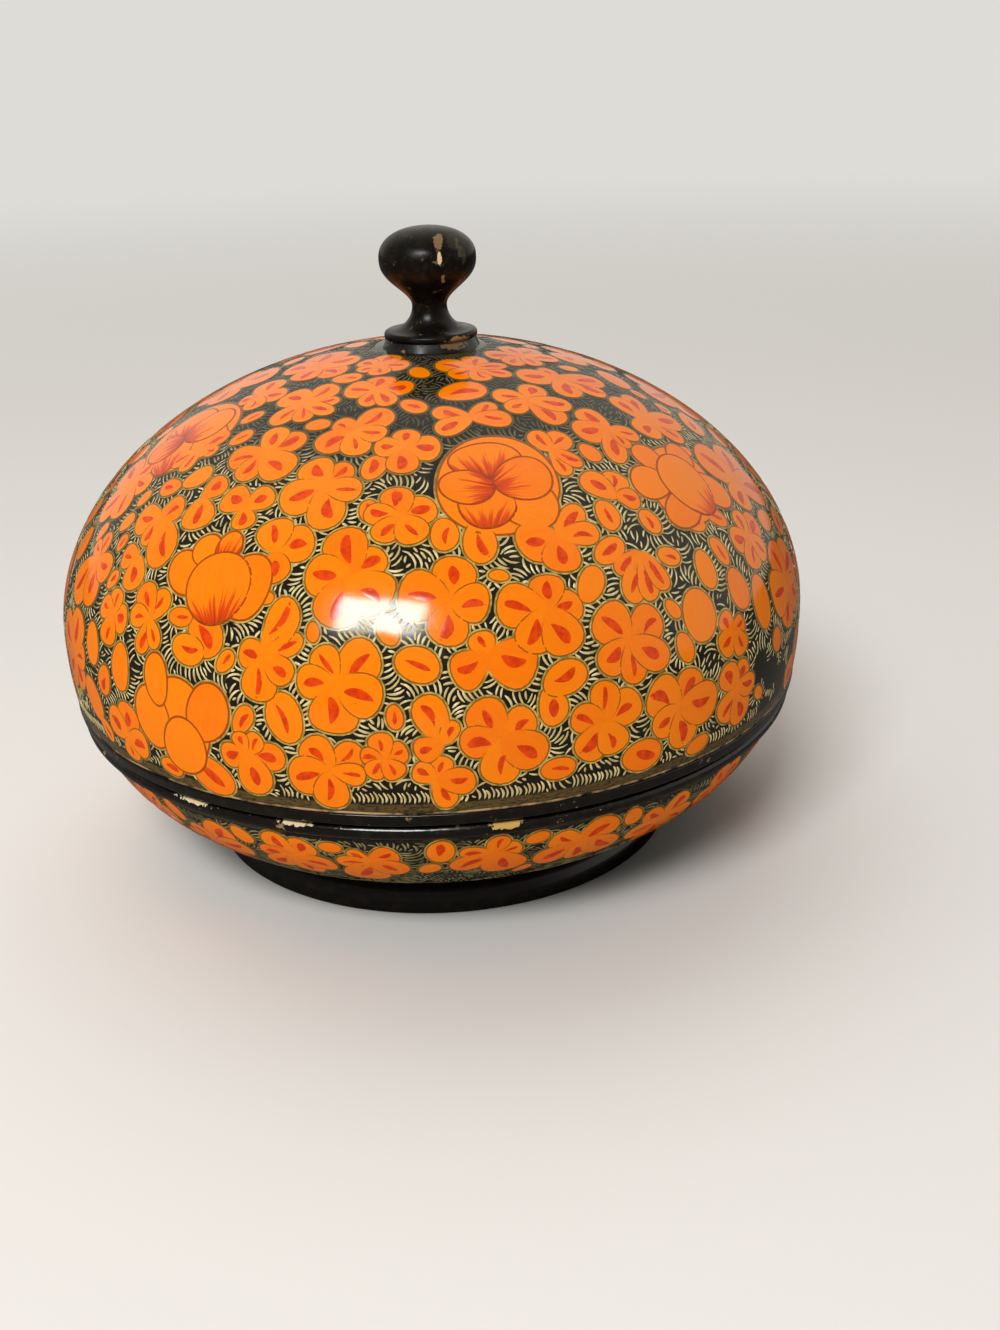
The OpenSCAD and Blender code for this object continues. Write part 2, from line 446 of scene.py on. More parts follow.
def petalMaterial(name, lineWidth, lineColour):
    # Place holds the way along, across and in from the edge, in millimetres; tone holds the petal's
    # seed, how much red is brushed up from its base, and how far the outline is drawn
    material, bench, shader = newMaterial(name, 0.12)
    place = bench.values("place")
    along, across, edge = bench.split(place)
    seed, redness, drawn = bench.split(bench.values("tone"))
    marks = bench.group(brushMarks, Vector=place, Seed=seed)
    tint = bench.plus(bench.times(seed, 0.6), bench.times(marks["Load"], 0.5))
    body = bench.blend(bench.step(tint, 0.35, 1.0), petalColours["orange"], petalColours["deep"])
    streaked = bench.times(bench.step(marks["Strokes"], 0.5, 0.75), 0.3)
    body = bench.blend(streaked, body, petalColours["light"])
    # Red fans up from the base in brush streaks: streaks follow the angle seen from behind the base
    angle = bench.maths("ARCTAN2", across, bench.plus(along, 2.5))
    ray = bench.combine(bench.times(angle, 13.0), bench.times(along, 0.1), bench.times(seed, 31.0))
    streak = bench.noise(ray, 1.0, 3.0, 0.7)
    reach = bench.times(bench.minus(streak, 0.5), 2.0)
    fall = bench.minus(0.85, bench.times(along, 0.17))
    level = bench.plus(bench.plus(fall, reach), bench.times(redness, 0.5))
    fan = bench.times(bench.step(level, 0.68, 0.98), bench.step(redness, 0.0, 0.4))
    body = bench.blend(bench.times(fan, 0.9), body, petalColours["red"])
    root = bench.times(bench.step(level, 0.98, 1.5), bench.step(redness, 0.5, 1.0))
    body = bench.blend(bench.times(root, 0.75), body, petalColours["dark"])
    # Outline: a thin line at the rim, softer towards the flower's middle
    breakup = bench.noise(place, 1.1, 2.0)
    width = bench.plus(lineWidth, bench.times(breakup, 0.12))
    rim = bench.minus(1.0, bench.step(edge, width, bench.plus(width, 0.06)))
    rim = bench.times(rim, bench.times(drawn, 0.9))
    line = bench.blend(bench.step(breakup, 0.4, 0.75), lineColour, petalColours["seam"])
    bench.feed(shader.inputs["Base Color"], bench.blend(rim, body, line))
    varnish(bench, shader, 0.08, 0.17, under=bench.times(marks["Strokes"], 0.25))
    return material


def plainPaintMaterial(name, one, other, scale, crown=None, limb=None):
    # One paint that goes from one tone to another. It can turn to a third tone towards the crown,
    # between two heights in millimetres, and to a fourth where it is seen aslant: painted shade that stands
    # in for the dark room that bronze paint mirrors at a slant
    material, bench, shader = newMaterial(name, 0.1)
    where = bench.place()
    slow = bench.noise(where, scale, 3.0, 0.6)
    colour = bench.blend(bench.step(slow, 0.35, 0.65), one, other)
    if crown:
        tone, start, full = crown
        colour = bench.blend(bench.step(bench.height(where), start, full), colour, tone)
    # Painted shade: the tone darkens where the surface is seen aslant
    if limb:
        tone, start, full = limb
        aslant = bench.put("ShaderNodeLayerWeight").outputs["Facing"]
        colour = bench.blend(bench.step(aslant, start, full), colour, tone)
    bench.feed(shader.inputs["Base Color"], colour)
    varnish(bench, shader, 0.1, 0.22)
    return material


def groundMaterial(name, band, bandColour, trim, trimColour, within):
    # Black lacquer with olive streaks; a thin brown-gold band and a tan line run at set heights on
    # the outside, which is farther from the axis than the last value in millimetres
    material, bench, shader = newMaterial(name, 0.1)
    where = bench.place()
    height = bench.height(where)
    drawn = bench.stretch(where, (1.0, 1.0, 0.3))
    olive = bench.step(bench.noise(drawn, 500.0, 3.0, 0.6), 0.5, 0.8)
    body = bench.blend(olive, paint(27, 22, 14), paint(52, 46, 26))
    wobble = bench.times(bench.minus(bench.noise(where, 140.0, 2.0), 0.5), 0.5)
    level = bench.plus(height, wobble)
    around = bench.length(bench.stretch(where, (1 / mm, 1 / mm, 0.0)))
    outside = bench.step(around, within - 0.4, within + 0.4)

    def stripe(low, high, soft):
        over = bench.times(outside, bench.step(level, low - soft, low + soft))
        return bench.times(over, bench.minus(1.0, bench.step(level, high - soft, high + soft)))

    fine = bench.noise(bench.stretch(where, (1.0, 1.0, 3.0)), 1300.0, 3.0, 0.65)
    thin = bench.times(stripe(*band, 0.18), bench.step(fine, 0.25, 0.6))
    body = bench.blend(bench.times(thin, 0.9), body, bandColour)
    broken = bench.step(bench.noise(where, 110.0, 4.0, 0.65), 0.42, 0.56)
    body = bench.blend(bench.times(stripe(*trim, 0.05), broken), body, trimColour)
    bench.feed(shader.inputs["Base Color"], body)
    varnish(bench, shader, 0.09, 0.2)
    return material


def lacquerMaterial(name, wearColour, scale, limit, low=0.08, high=0.24, strength=0.25, marks=(), shine=0.5):
    # Black lacquer, rubbed through to what lies under it in small places, with marks where it is worn or
    # chipped on purpose, some of them painted sheen and painted glints: the middle of each, its half sizes,
    # how ragged it is, and its colour
    material, bench, shader = newMaterial(name, low)
    where = bench.place()
    wear = bench.group(rubbedWear, Scale=scale, Limit=limit)["Mask"]
    mottle = bench.step(bench.noise(where, 700.0, 3.0, 0.6), 0.45, 0.8)
    body = bench.blend(mottle, paint(15, 12, 9), paint(36, 30, 20))
    body = bench.blend(wear, body, wearColour)
    patches = wear
    # Each mark blends its colour in, the painted sheen and painted glints among them, and sinks the varnish a
    # little
    for middle, half, ragged, colour in marks:
        middle = [value * mm for value in middle]
        away = bench.work("ShaderNodeVectorMath", (where, middle), operation="SUBTRACT")[0]
        length = bench.length(bench.stretch(away, [1 / (value * mm) for value in half]))
        grit = bench.minus(bench.noise(where, 1500.0, 3.0, 0.6), 0.5)
        far = bench.plus(length, bench.times(grit, ragged))
        patch = bench.minus(1.0, bench.step(far, 0.85, 1.0))
        body = bench.blend(patch, body, colour)
        patches = bench.maths("MAXIMUM", patches, patch)
    bench.feed(shader.inputs["Base Color"], body)
    shader.inputs["Specular IOR Level"].default_value = shine
    varnish(bench, shader, low, high, strength=strength, under=bench.times(patches, -0.8))
    return material


# Middles and half sizes in millimetres
knobWearAndSheen = [
    ((3.3, -5.4, 94.3), (0.75, 2.2, 1.6), 1.2, paint(128, 98, 66)),
    ((3.4, -6.9, 92.0), (0.36, 1.0, 1.0), 1.2, paint(222, 198, 158)),
    # Painted sheen: this broad olive patch and the three streaks after it stand in for reflections on the
    # bulb's right, and partly for wear
    ((6.0, -3.9, 94.0), (1.7, 2.4, 1.5), 0.9, paint(42, 38, 27)),
    ((6.0, -4.6, 93.8), (0.3, 1.0, 1.0), 2.8, paint(74, 69, 48)),
    ((6.4, -4.9, 92.9), (0.34, 1.0, 1.1), 2.8, paint(68, 64, 45)),
    ((6.9, -4.7, 91.9), (0.34, 1.0, 1.1), 2.8, paint(56, 53, 38)),
    ((3.8, -6.3, 88.9), (0.28, 1.2, 0.7), 2.0, paint(140, 108, 80)),
    ((6.0, -5.5, 79.8), (2.2, 2.6, 0.5), 2.4, paint(150, 112, 70)),
]
seatMarks = [((5.2, -5.8, 79.1), (2.2, 2.8, 0.6), 4.0, paint(118, 92, 60))]
hoopChipsAndGlints = [
    ((10.6, -56.2, 24.8), (2.2, 3.0, 0.7), 1.4, paint(206, 166, 92)),
    # Painted glints: cream marks along the top edge of the bowl's hoop, pale like chipped gesso
    ((-18.0, -53.5, 24.9), (2.6, 3.0, 0.3), 3.4, paint(228, 206, 164)),
    ((-33.0, -46.5, 24.9), (3.6, 3.0, 0.3), 3.4, paint(228, 206, 164)),
]


petalPaint = petalMaterial("petalPaint", 0.08, petalColours["outline"])
bloomPaint = petalMaterial("bloomPaint", 0.21, petalColours["bloomLine"])
# The limb tones of the margins and the hatching are painted shade, darker where seen aslant
goldPaint = plainPaintMaterial(
    "goldMargin", paint(204, 174, 92), paint(140, 116, 50), 900.0,
    crown=(paint(86, 76, 42), 64, 73), limb=(paint(104, 88, 40), 0.35, 0.7))
dabPaint = plainPaintMaterial("redDab", paint(232, 72, 2), paint(208, 52, 1), 900.0)
hatchPaint = plainPaintMaterial(
    "creamHatch", paint(230, 212, 156), paint(190, 168, 110), 500.0,
    crown=(paint(62, 57, 38), 66, 73), limb=(paint(92, 84, 50), 0.35, 0.7))
bowlHatchPaint = plainPaintMaterial("oliveHatch", paint(150, 138, 92), paint(84, 78, 46), 300.0)
lidGround = groundMaterial(
    "lidLacquer", (27.9, 29.2), paint(98, 78, 42), (27.5, 27.85), paint(196, 160, 112), within=56.3)
bowlGround = groundMaterial(
    "bowlLacquer", (6.5, 8.6), paint(58, 48, 26), (22.3, 22.8), paint(66, 62, 34), within=37.6)
lidHoopLacquer = lacquerMaterial("lidHoopLacquer", paint(140, 118, 84), 420.0, 0.67, 0.1, 0.28, 0.8)
bowlHoopLacquer = lacquerMaterial(
    "bowlHoopLacquer", paint(140, 118, 84), 420.0, 0.67, 0.1, 0.26, 1.0, marks=hoopChipsAndGlints)
footLacquer = lacquerMaterial("footLacquer", paint(70, 55, 38), 300.0, 0.7)
knobLacquer = lacquerMaterial(
    "knobLacquer", paint(110, 90, 64), 420.0, 0.66, 0.2, 0.42, 0.5, marks=knobWearAndSheen, shine=0.18)
fillerPaint = lacquerMaterial("seatFiller", paint(150, 112, 68), 420.0, 0.64, 0.2, 0.5, 0.8, marks=seatMarks)
collarBoard = lacquerMaterial("collarBoard", paint(96, 76, 50), 200.0, 0.7, 0.35, 0.55)
print("materials made")

# What can't be seen from the outside: thicknesses and clearances
inside = dict(wall=3.0 * mm, collarThick=1.6 * mm, clear=0.4 * mm, glue=0.05 * mm, hoopThick=1.4 * mm)
mouth = lidLow.z


def rebateRadius(belly):
    # The hoop sits in a step this far from the axis
    return lowRadius(belly, curve["lowDepth"], mouth) - inside["hoopThick"]


def makeShells():
    lidBelly, bowlBelly = lidSkin["belly"], bowlSkin["belly"]
    depth = curve["lowDepth"] - curve["inset"]
    innerDepth = curve["lowDepth"] - inside["wall"]
    innerBelly = lidHigh.x - inside["wall"]
    collarRadius = lowRadius(innerBelly, innerDepth, mouth) - inside["clear"]
    bowlInner = (collarRadius + inside["glue"]) / lowRadius(1, innerDepth, mouth)
    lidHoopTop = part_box("lid_rim_hoop")[1].z
    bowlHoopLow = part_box("bowl_rim_hoop")[0].z
    lidRebate = rebateRadius(lidHigh.x)
    bowlRebate = rebateRadius(lidHigh.x - curve["bowlStep"])
    underside = bowlLow.z
    floor = underside + inside["wall"]
    # Each profile runs so that the faces look outwards: up the outside, over, and down the inside
    lidProfile = np.concatenate([
        [[lidRebate, mouth], [lidRebate, lidHoopTop]],
        lowPoints(lidBelly, depth, curve["bellyHeight"], lidHoopTop, 26)[::-1],
        domePoints(lidBelly, curve["domeRise"] - curve["inset"], 110)[1:],
        domePoints(innerBelly, curve["domeRise"] - inside["wall"], 60)[::-1],
        lowPoints(innerBelly, innerDepth, curve["bellyHeight"], mouth, 14)[1:],
    ])
    turned("lidGround", lidProfile, lidGround, body="lid", slotName="painted_lid", stands=("lid_shell",))
    bowlProfile = np.concatenate([
        [[0, underside]],
        lowPoints(bowlBelly, depth, bowlHoopLow, underside, 60)[::-1],
        [[bowlRebate, bowlHoopLow], [bowlRebate, mouth]],
        lowPoints(bowlInner, innerDepth, mouth, floor, 50),
        [[0, floor]],
    ])
    turned("bowlGround", bowlProfile, bowlGround, body="bowl", slotName="painted_bowl",
           stands=("bowl_shell",))
    collarLow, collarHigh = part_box("mouth_collar")
    lap = lowPoints(bowlInner, innerDepth, mouth, collarLow.z, 16)[::-1]
    lap[:, 0] -= inside["glue"]
    thick = inside["collarThick"]
    top = [[collarRadius, collarHigh.z], [collarRadius - thick, collarHigh.z]]
    collarProfile = np.concatenate([lap, top, (lap - [thick, 0])[::-1]])
    turned("mouthCollar", collarProfile, collarBoard, body="bowl", slotName="collar_board",
           stands=("mouth_collar",))


hoops = [
    dict(name="lidRimHoop", node="lid_rim_hoop", belly=lidHigh.x, proud=0.15 * mm, power=8,
         body="lid", material=lidHoopLacquer),
    dict(name="bowlRimHoop", node="bowl_rim_hoop", belly=lidHigh.x - curve["bowlStep"], proud=0.7 * mm,
         power=2.4, body="bowl", material=bowlHoopLacquer),
]


def makeHoop(name, node, belly, proud, power, body, material):
    # Band that stands proud of the body's own curve, flatter the higher the power:
    # radius = curve + proud * (1 - |u|^power), where u goes from -1 at one edge to 1 at the other
    low, high = (place.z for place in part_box(node))
    u = np.sin(np.linspace(-math.pi / 2, math.pi / 2, 25))
    height = low + 0.5 * (1 + u) * (high - low)
    stand = proud * (1 - np.abs(u) ** power)
    face = np.stack([lowRadius(belly, curve["lowDepth"], height) + stand, height], 1)
    back = rebateRadius(belly) + inside["glue"]
    profile = np.concatenate([face, [[back, high], [back, low]]])
    turned(name, profile, material, body=body, slotName="black_lacquer", stands=(node,))


footShape = dict(wide=5 * mm, edge=0.6 * mm)


def makeFoot():
    # Ring under the bowl with a rounded outer edge. Its top laps the bowl:
    # height = belly's - depth * (1 - (radius / belly)^p)^(1/p)
    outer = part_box("foot_ring")[1].x
    inner = outer - footShape["wide"]
    rise = np.linspace(outer, inner, 9)
    belly, depth, power = lidHigh.x - curve["bowlStep"], curve["lowDepth"], curve["lowPower"]
    lapHeight = curve["bellyHeight"] - depth * (1 - (rise / belly) ** power) ** (1 / power)
    lap = np.stack([rise, np.maximum(lapHeight, bowlLow.z) - inside["glue"]], 1)
    t = np.linspace(-math.pi / 2, 0, 8)
    edge = footShape["edge"]
    corner = np.stack([outer - edge * (1 - np.cos(t)), edge * (1 + np.sin(t))], 1)
    profile = np.concatenate([[[inner, 0]], corner, lap])
    turned("footRing", profile, footLacquer, body="bowl", slotName="black_lacquer", stands=("foot_ring",))


makeShells()
for hoop in hoops:
    makeHoop(**hoop)
makeFoot()
print("shells, hoops, collar and foot made")

knobShape = dict(
    flangeRadius=7.1 * mm, flangeHigh=1.0 * mm, flangeEdge=0.55 * mm,
    sweepHigh=3.65 * mm, neckRadius=2.65 * mm, drawPower=1.3,
    bulbRadius=7.35 * mm, bulbLow=7.1 * mm, bulbTop=4.55 * mm, bulbPower=2.2,
    steps=160,
)


def makeKnob():
    # Below its widest circle the bulb's radius = neck + (bulb - neck) * cos(90 deg * fall^power)^2,
    # where the fall goes from 0 at that circle to 1 at the neck
    shape = knobShape
    low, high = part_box("knob")
    centre = ((low.x + high.x) / 2, 0)
    neck, flangeEdge = shape["neckRadius"], shape["flangeEdge"]
    sweepRadius = shape["flangeRadius"] - flangeEdge - neck
    bulbZ = shape["flangeHigh"] + shape["sweepHigh"] + shape["bulbLow"]
    t = np.linspace(0, math.pi / 2, 8)
    edge = np.stack([shape["flangeRadius"] - flangeEdge * (1 - np.cos(t)),
                     shape["flangeHigh"] - flangeEdge * (1 - np.sin(t))], 1)
    t = np.linspace(math.pi / 2, 0, 20)[1:]
    sweep = np.stack([neck + sweepRadius * (1 - np.cos(t)),
                      shape["flangeHigh"] + shape["sweepHigh"] * (1 - np.sin(t))], 1)
    fall = np.linspace(1, 0, 40)[1:]
    swell = np.cos(math.pi / 2 * fall ** shape["drawPower"]) ** 2
    bulb = np.stack([neck + (shape["bulbRadius"] - neck) * swell, bulbZ - shape["bulbLow"] * fall], 1)
    t = np.linspace(0, math.pi / 2, 36)[1:]
    top = np.stack([shape["bulbRadius"] * np.cos(t) ** (2 / shape["bulbPower"]),
                    bulbZ + shape["bulbTop"] * np.sin(t) ** (2 / shape["bulbPower"])], 1)
    top[-1, 0] = 0
    profile = np.concatenate([[[0, 0]], edge[:1] * [1, 0], edge, sweep, bulb, top]) + [0, low.z]
    turned("knob", profile, knobLacquer, shape["steps"], centre, body="lid", slotName="lacquered_wood",
           stands=("knob",))


seatShape = dict(
    radius=7.3 * mm, draw=0.5 * mm, sunk=0.2 * mm, fade=1.5, sides=120, rings=9,
    lumps=((0.12, 3, 1), (0.1, 7, 2), (0.07, 13, 0)),       # how high in mm, how many round, and their turn
    squeezed=((0.9, 3.6, 0.5), (0.5, 5.6, 0.35)),           # how high in mm, where round, and how wide
)


def makeSeat():
    # Washer of filler, lumpy round its foot: radius = foot radius - draw * share + the lumps'
    # sines and the squeezed places' bells, which fade as (1 - share)^1.5 towards the top
    shape = seatShape
    sides, rings, sunk = shape["sides"], shape["rings"], shape["sunk"]
    low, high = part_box("knob_seat")
    centre = np.array([(low.x + high.x) / 2, 0, 0])
    turns = np.linspace(0, 2 * math.pi, sides, endpoint=False)
    share = np.linspace(0, 1, rings)[:, None]
    lumps = sum(size * np.sin(count * turns + turn) for size, count, turn in shape["lumps"])
    squeezed = sum(size * np.exp(-((turns - turn) / wide) ** 2) for size, turn, wide in shape["squeezed"])
    grow = (lumps + squeezed)[None, :] * (1 - share) ** shape["fade"] * mm
    radius = shape["radius"] - shape["draw"] * share + grow
    height = low.z - sunk + (high.z - low.z + sunk) * share + 0 * radius
    rows = np.stack([radius * np.cos(turns), radius * np.sin(turns), height], -1)
    points = np.concatenate([rows.reshape(-1, 3), [[0, 0, low.z - sunk], [0, 0, high.z]]]) + centre
    pole = rings * sides
    faces = [ringBand(start, start + sides, sides) for start in range(0, pole - sides, sides)]
    faces += [poleFan(0, pole, sides)[:, ::-1], poleFan(pole - sides, pole + 1, sides)]
    makeMesh("knobSeat", points, faces, fillerPaint, body="lid", slotName="glue_filler",
             stands=("knob_seat",))


makeKnob()
makeSeat()
bareWood, woodBench, woodShader = newMaterial("bareWood", 0.6)
grain = woodBench.noise(woodBench.stretch(woodBench.place(), (1.0, 1.0, 0.08)), 2500.0, 3.0)
woodTone = woodBench.blend(grain, paint(196, 152, 100), paint(150, 106, 62))
woodBench.feed(woodShader.inputs["Base Color"], woodTone)
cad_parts["knob_pin"].data.materials.clear()
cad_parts["knob_pin"].data.materials.append(bareWood)
print("knob and seat made")

# Where the flowers stand on the lid
# Longitude and drop from the crown, then each petal's turn, where 0 points east and 90 up, and length
lidFlowers = [
    (-36, 37.5, ((106, 5.5), (50, 5.5), (-26, 7.5), (-100, 6.5), (-155, 5.5))),
    (-39, 26, ((-110, 6), (-59, 5.5), (-10, 5), (23, 5), (81, 5), (165, 5))),
    (-16, 31, ((162, 5), (54, 5.5), (-12, 5.5), (-77, 7), (-135, 7))),
    (-18, 42, ((134, 5.5), (53, 4.5), (-10, 6.5), (-69, 8), (-145, 6.5))),
    (-23, 53, ((108, 5), (26, 6), (-75, 6))),
    (-43, 47, ((71, 4.5), (-65, 6))),
    (-32, 47, ((49, 5), (-72, 4.5), (156, 5))),
    (-56, 40, ((69, 6.5), (18, 5), (-82, 5.5), (-130, 6.5))),
    (-69, 50, ((-102, 6.5), (-44, 7), (20, 7.5), (75, 6), (170, 8.5))),
    (-50, 52, ((-167, 5), (59, 5), (-92, 4.5), (-40, 8))),
    (-50, 58, ((-164, 5), (-71, 5))),
    (-61.5, 61.5, ((-129, 8), (100, 4), (-5, 6), (-69, 6), (150, 5))),
    (-63, 27.5, ((-125, 4), (122, 5), (30, 4.5), (-36, 5.5))),
    (-66, 17, ((-145, 5.5), (-53, 5.5), (12, 7), (68, 7.5), (145, 6.5))),
    (-29, 13, ((-128, 4), (-50, 4), (20, 4), (90, 4), (160, 4))),
    (-16.5, 21, ((177, 4.5), (-101, 4), (-48, 4.5), (20, 4.5), (96, 5))),
    (31, 15.5, ((136, 5), (-161, 5), (-100, 4.5), (-44, 5.5), (-5, 5.5), (55, 4.5))),
    (36, 27, ((135, 5.5), (43, 5), (-26, 6.5), (-75, 7), (-167, 5))),
    (15, 29, ((153, 5), (36, 4.5), (-10, 7), (-157, 5))),
    (30, 38, ((102, 5), (36, 5), (-49, 5.5), (-86, 6.5))),
    (49, 37, ((161, 6.5), (98, 5.5), (-36, 4.5), (-88, 5.5), (-128, 7.5))),
    (64, 38, ((91, 6), (46, 6), (-26, 7), (-151, 4.5), (-71, 6.5))),
    (60, 24, ((139, 6.5), (81, 4.5), (-35, 7), (-77, 7.5), (-133, 5.5))),
    (71, 16, ((125, 5), (50, 5), (1, 5.5), (-47, 6.5), (-120, 5), (180, 5))),
    (61, 61, ((81, 5), (13, 4.5), (172, 6), (-57, 4), (-121, 6))),
    (70, 54, ((102, 7), (-26, 8), (-146, 4.5), (31, 8))),
    (23, 52, ((40, 7.5), (-4, 7.5), (-99, 5.5), (-172, 7.5))),
    (93, 40, ((73, 7), (0, 7), (-75, 7), (-140, 6), (145, 7))),
    (-51, 67, ((-94, 4.5), (92, 4), (4, 5), (164, 4.5))),
    (-42, 65.5, ((121, 5.5), (66, 4.5), (-178, 5), (-96, 5), (-50, 5.5))),
    (-46.5, 84, ((77, 7), (-4, 5.5), (-87, 4), (150, 4.5))),
    (-24, 81, ((-169, 5), (106, 4), (52, 5), (0, 5), (-72, 5))),
    (-10, 56, ((177, 6.5), (105, 7), (43, 5.5), (-31, 5.5), (-110, 7))),
    (-21, 67, ((70, 7), (28, 6), (-41, 5), (-101, 8), (-178, 4))),
    (-11, 70, ((119, 6), (45, 6), (-22, 5.5), (-94, 6), (180, 5))),
    (-12, 82, ((127, 6), (45, 7), (-9, 6), (-93, 6), (-163, 5.5))),
    (4.5, 59.5, ((75, 5.5), (-3, 5), (-99, 7), (165, 6))),
    (18, 62, ((162, 7), (77, 4.5), (3, 6), (-63, 8), (-129, 7.5))),
    (9, 67, ((107, 4), (-17, 8), (-155, 4.5))),
    (10, 78, ((119, 6.5), (33, 6.5), (-176, 7), (-31, 7.5), (-94, 7))),
    (24, 78, ((156, 6), (86, 5.5), (22, 6.5), (-126, 7), (-63, 6.5))),
    (29, 68, ((122, 5), (27, 7), (-35, 6), (-91, 6), (-152, 5.5))),
    (36, 79, ((138, 6), (56, 6), (-6, 6.5), (-150, 6), (-73, 8))),
    (48, 80, ((131, 5.5), (64, 4.5), (-3, 5.5), (-132, 5), (-72, 5.5))),
    (48, 71.5, ((127, 4), (15, 4), (-148, 4), (-57, 4.5))),
    (2.5, 78, ((59, 4.5), (110, 6), (-160, 5))),
    (1.5, 83, ((72, 4), (-12, 5.5), (-66, 4), (150, 4))),
    (-3, 47, ((100, 6), (20, 6), (-50, 6), (-130, 6), (170, 6))),
    (37, 48, ((121, 4.7), (57, 5.9), (-21, 4.4))),
    (-5, 80, ((100, 4.4), (24, 3.8), (-58, 4.2), (-130, 4.4), (170, 4))),
    (35.8, 57, ((-164, 7), (-133, 7.6), (-104, 7.4), (-72, 7.4))),
    (-3, 35, ((85, 5), (5, 5), (-90, 6), (170, 5))),
]

# Plain ovals and buds: longitude, drop, half length, turn, and 1 where a red dab is painted in it
lidOvals = [
    (-28, 30.5, 2, 20, 0), (-9, 38.5, 2.4, 77, 1), (-8.5, 46, 1.9, 88, 1), (-59, 54.5, 1.9, 66, 0),
    (-66, 58, 1.8, 73, 0), (-54, 62.5, 1.7, 65, 1), (-36, 18, 2.4, 30, 1), (17, 22, 3.7, 8, 1),
    (38.5, 40, 2, -80, 0), (40.5, 53, 2.2, -80, 1), (49.5, 55.5, 2.1, -20, 1), (55.5, 56, 2.4, -40, 1),
    (63.5, 45.5, 1.4, -40, 0), (10, 51.5, 3.2, -87, 1), (4.5, 50, 2.6, -93, 1), (30.5, 55.5, 2.8, 22, 1),
    (25.5, 59.5, 2.8, 45, 0), (40.5, 58.5, 2, -20, 1), (-36, 64, 2.2, 5, 1), (-31, 65.5, 3.6, -47, 1),
    (-33.5, 68, 3, -10, 1), (-27, 68.5, 1.9, 55, 1), (-47, 73.5, 3.4, -80, 0), (-55.5, 72.5, 3.3, -70, 0),
    (-22.5, 59.5, 1.4, 6, 0), (-18, 75, 3.6, -80, 1), (-24, 76, 2.4, 61, 1), (-37.5, 86, 2.2, -6, 1),
    (-30, 85.5, 3.8, -27, 1), (12, 56.5, 1.4, -6, 0), (19, 71, 3.3, 14, 1), (17, 74.5, 2.8, -79, 1),
    (17.5, 83.5, 2.5, 0, 1), (46.5, 62, 3, -96, 0), (42, 67.5, 4, -93, 0), (52, 66.5, 3.2, -95, 0),
    (37.5, 65.5, 1.6, -60, 0), (38, 71, 2.3, -68, 0), (30, 84.5, 3.4, -10, 1), (40, 86, 2.2, 12, 0),
    (51.5, 60.5, 2.4, -75, 1), (57, 70, 4, -100, 0), (-14.5, 63.5, 1.5, -78, 0), (-52, 31.5, 2, 60, 1),
    (-53, 85, 2.2, -41, 1), (-56, 81, 3.6, -56, 0),
]

# Large blooms are built of round petals: offset east and up, half length, half width, turn, redness
roseBloom = [
    (0.2, -0.3, 8.8, 8.4, 0, 0.0), (3.2, -4.2, 4.8, 4.0, -35, 0.1), (-2.3, -3.8, 3.8, 4.0, 80, 0.75),
    (-0.4, 3.8, 3.7, 5.0, 85, 1.0), (-4.2, -0.4, 3.7, 3.2, 165, 1.0), (3.8, 0.0, 4.3, 3.9, 15, 0.8),
]
discBloom = [
    (-6.2, 1.2, 3.6, 3.0, 150, 0.25), (-3.9, 4.8, 2.6, 2.4, 125, 0.1), (-0.4, 5.6, 2.6, 2.2, 85, 1.0),
    (4.2, 0.8, 4.0, 4.8, 10, 0.0), (0, 0, 5.3, 5.1, 105, 0.9),
]
sideBloom = [
    (0.6, 0.2, 7.6, 6.2, 60, 0.0), (-3.2, 5.0, 2.8, 2.6, 120, 0.1), (-5.6, 0.4, 3.4, 3.2, 175, 0.0),
    (-1.8, -4.2, 4.0, 3.0, -140, 0.0), (3.2, 5.2, 3.2, 2.6, 60, 0.0), (6.2, -0.4, 4.2, 3.0, -30, 0.2),
    (1.4, 0.3, 5.4, 4.8, 120, 0.6),
]
tulipBloom = [
    (0.4, 0.0, 6.6, 5.4, 90, 0.55), (-5.0, -0.4, 4.8, 3.6, 110, 0.0), (5.4, 2.4, 4.4, 3.6, 75, 0.0),
    (-3.9, 5.3, 3.6, 2.5, 100, 0.0), (0.8, -3.4, 4.2, 4.2, -90, 0.0),
]
lidBlooms = [
    (15.5, 42, 0, roseBloom), (53, 49.5, -20, sideBloom), (-31, 59, 0, discBloom),
    (-67, 39, 60, roseBloom), (-35, 78.5, 0, tulipBloom),
    (112, 60, 30, discBloom), (158, 42, -60, roseBloom), (-112, 66, 80, sideBloom),
    (-158, 72, 10, tulipBloom), (140, 78, 120, discBloom), (-128, 34, 200, roseBloom),
    (84, 74, 40, sideBloom),
]

# On the bowl the drop is given as a height instead
bowlFlowers = [
    (9, 19, ((171, 5.5), (7, 5), (74, 5), (-142, 7.5), (-65, 6))),
    (22.5, 18, ((152, 6), (37, 6.5), (-32, 7.5), (-142, 6.5), (-80, 5))),
    (-21, 17.5, ((175, 6), (120, 5), (55, 5.5), (-26, 6), (-80, 5), (-140, 6))),
    (-9, 18, ((140, 4.5), (32, 4), (-40, 5), (-104, 7), (-170, 5))),
    (-37, 16, ((134, 5.5), (52, 7), (-1, 6), (-87, 7), (-160, 6))),
    (-50, 18, ((-172, 8), (110, 5), (60, 5), (0, 6), (-66, 7.5))),
    (38, 17.5, ((150, 5), (48, 5), (-20, 7), (-78, 8), (-152, 5.5))),
    (51, 18.5, ((-156, 4.5), (38, 5), (-40, 6), (110, 4.5), (-100, 6))),
]
bowlOvals = [
    (1.5, 20, 2.8, 90, 1), (-14.5, 20.5, 1.8, 5, 0), (31, 20.5, 2.2, -70, 0), (15.5, 21, 1.8, 20, 0),
    (14.5, 13.5, 1.8, 53, 0), (-42.5, 20.5, 2.4, -60, 0), (-29, 20, 2.2, -60, 0),
]
print("layout read")

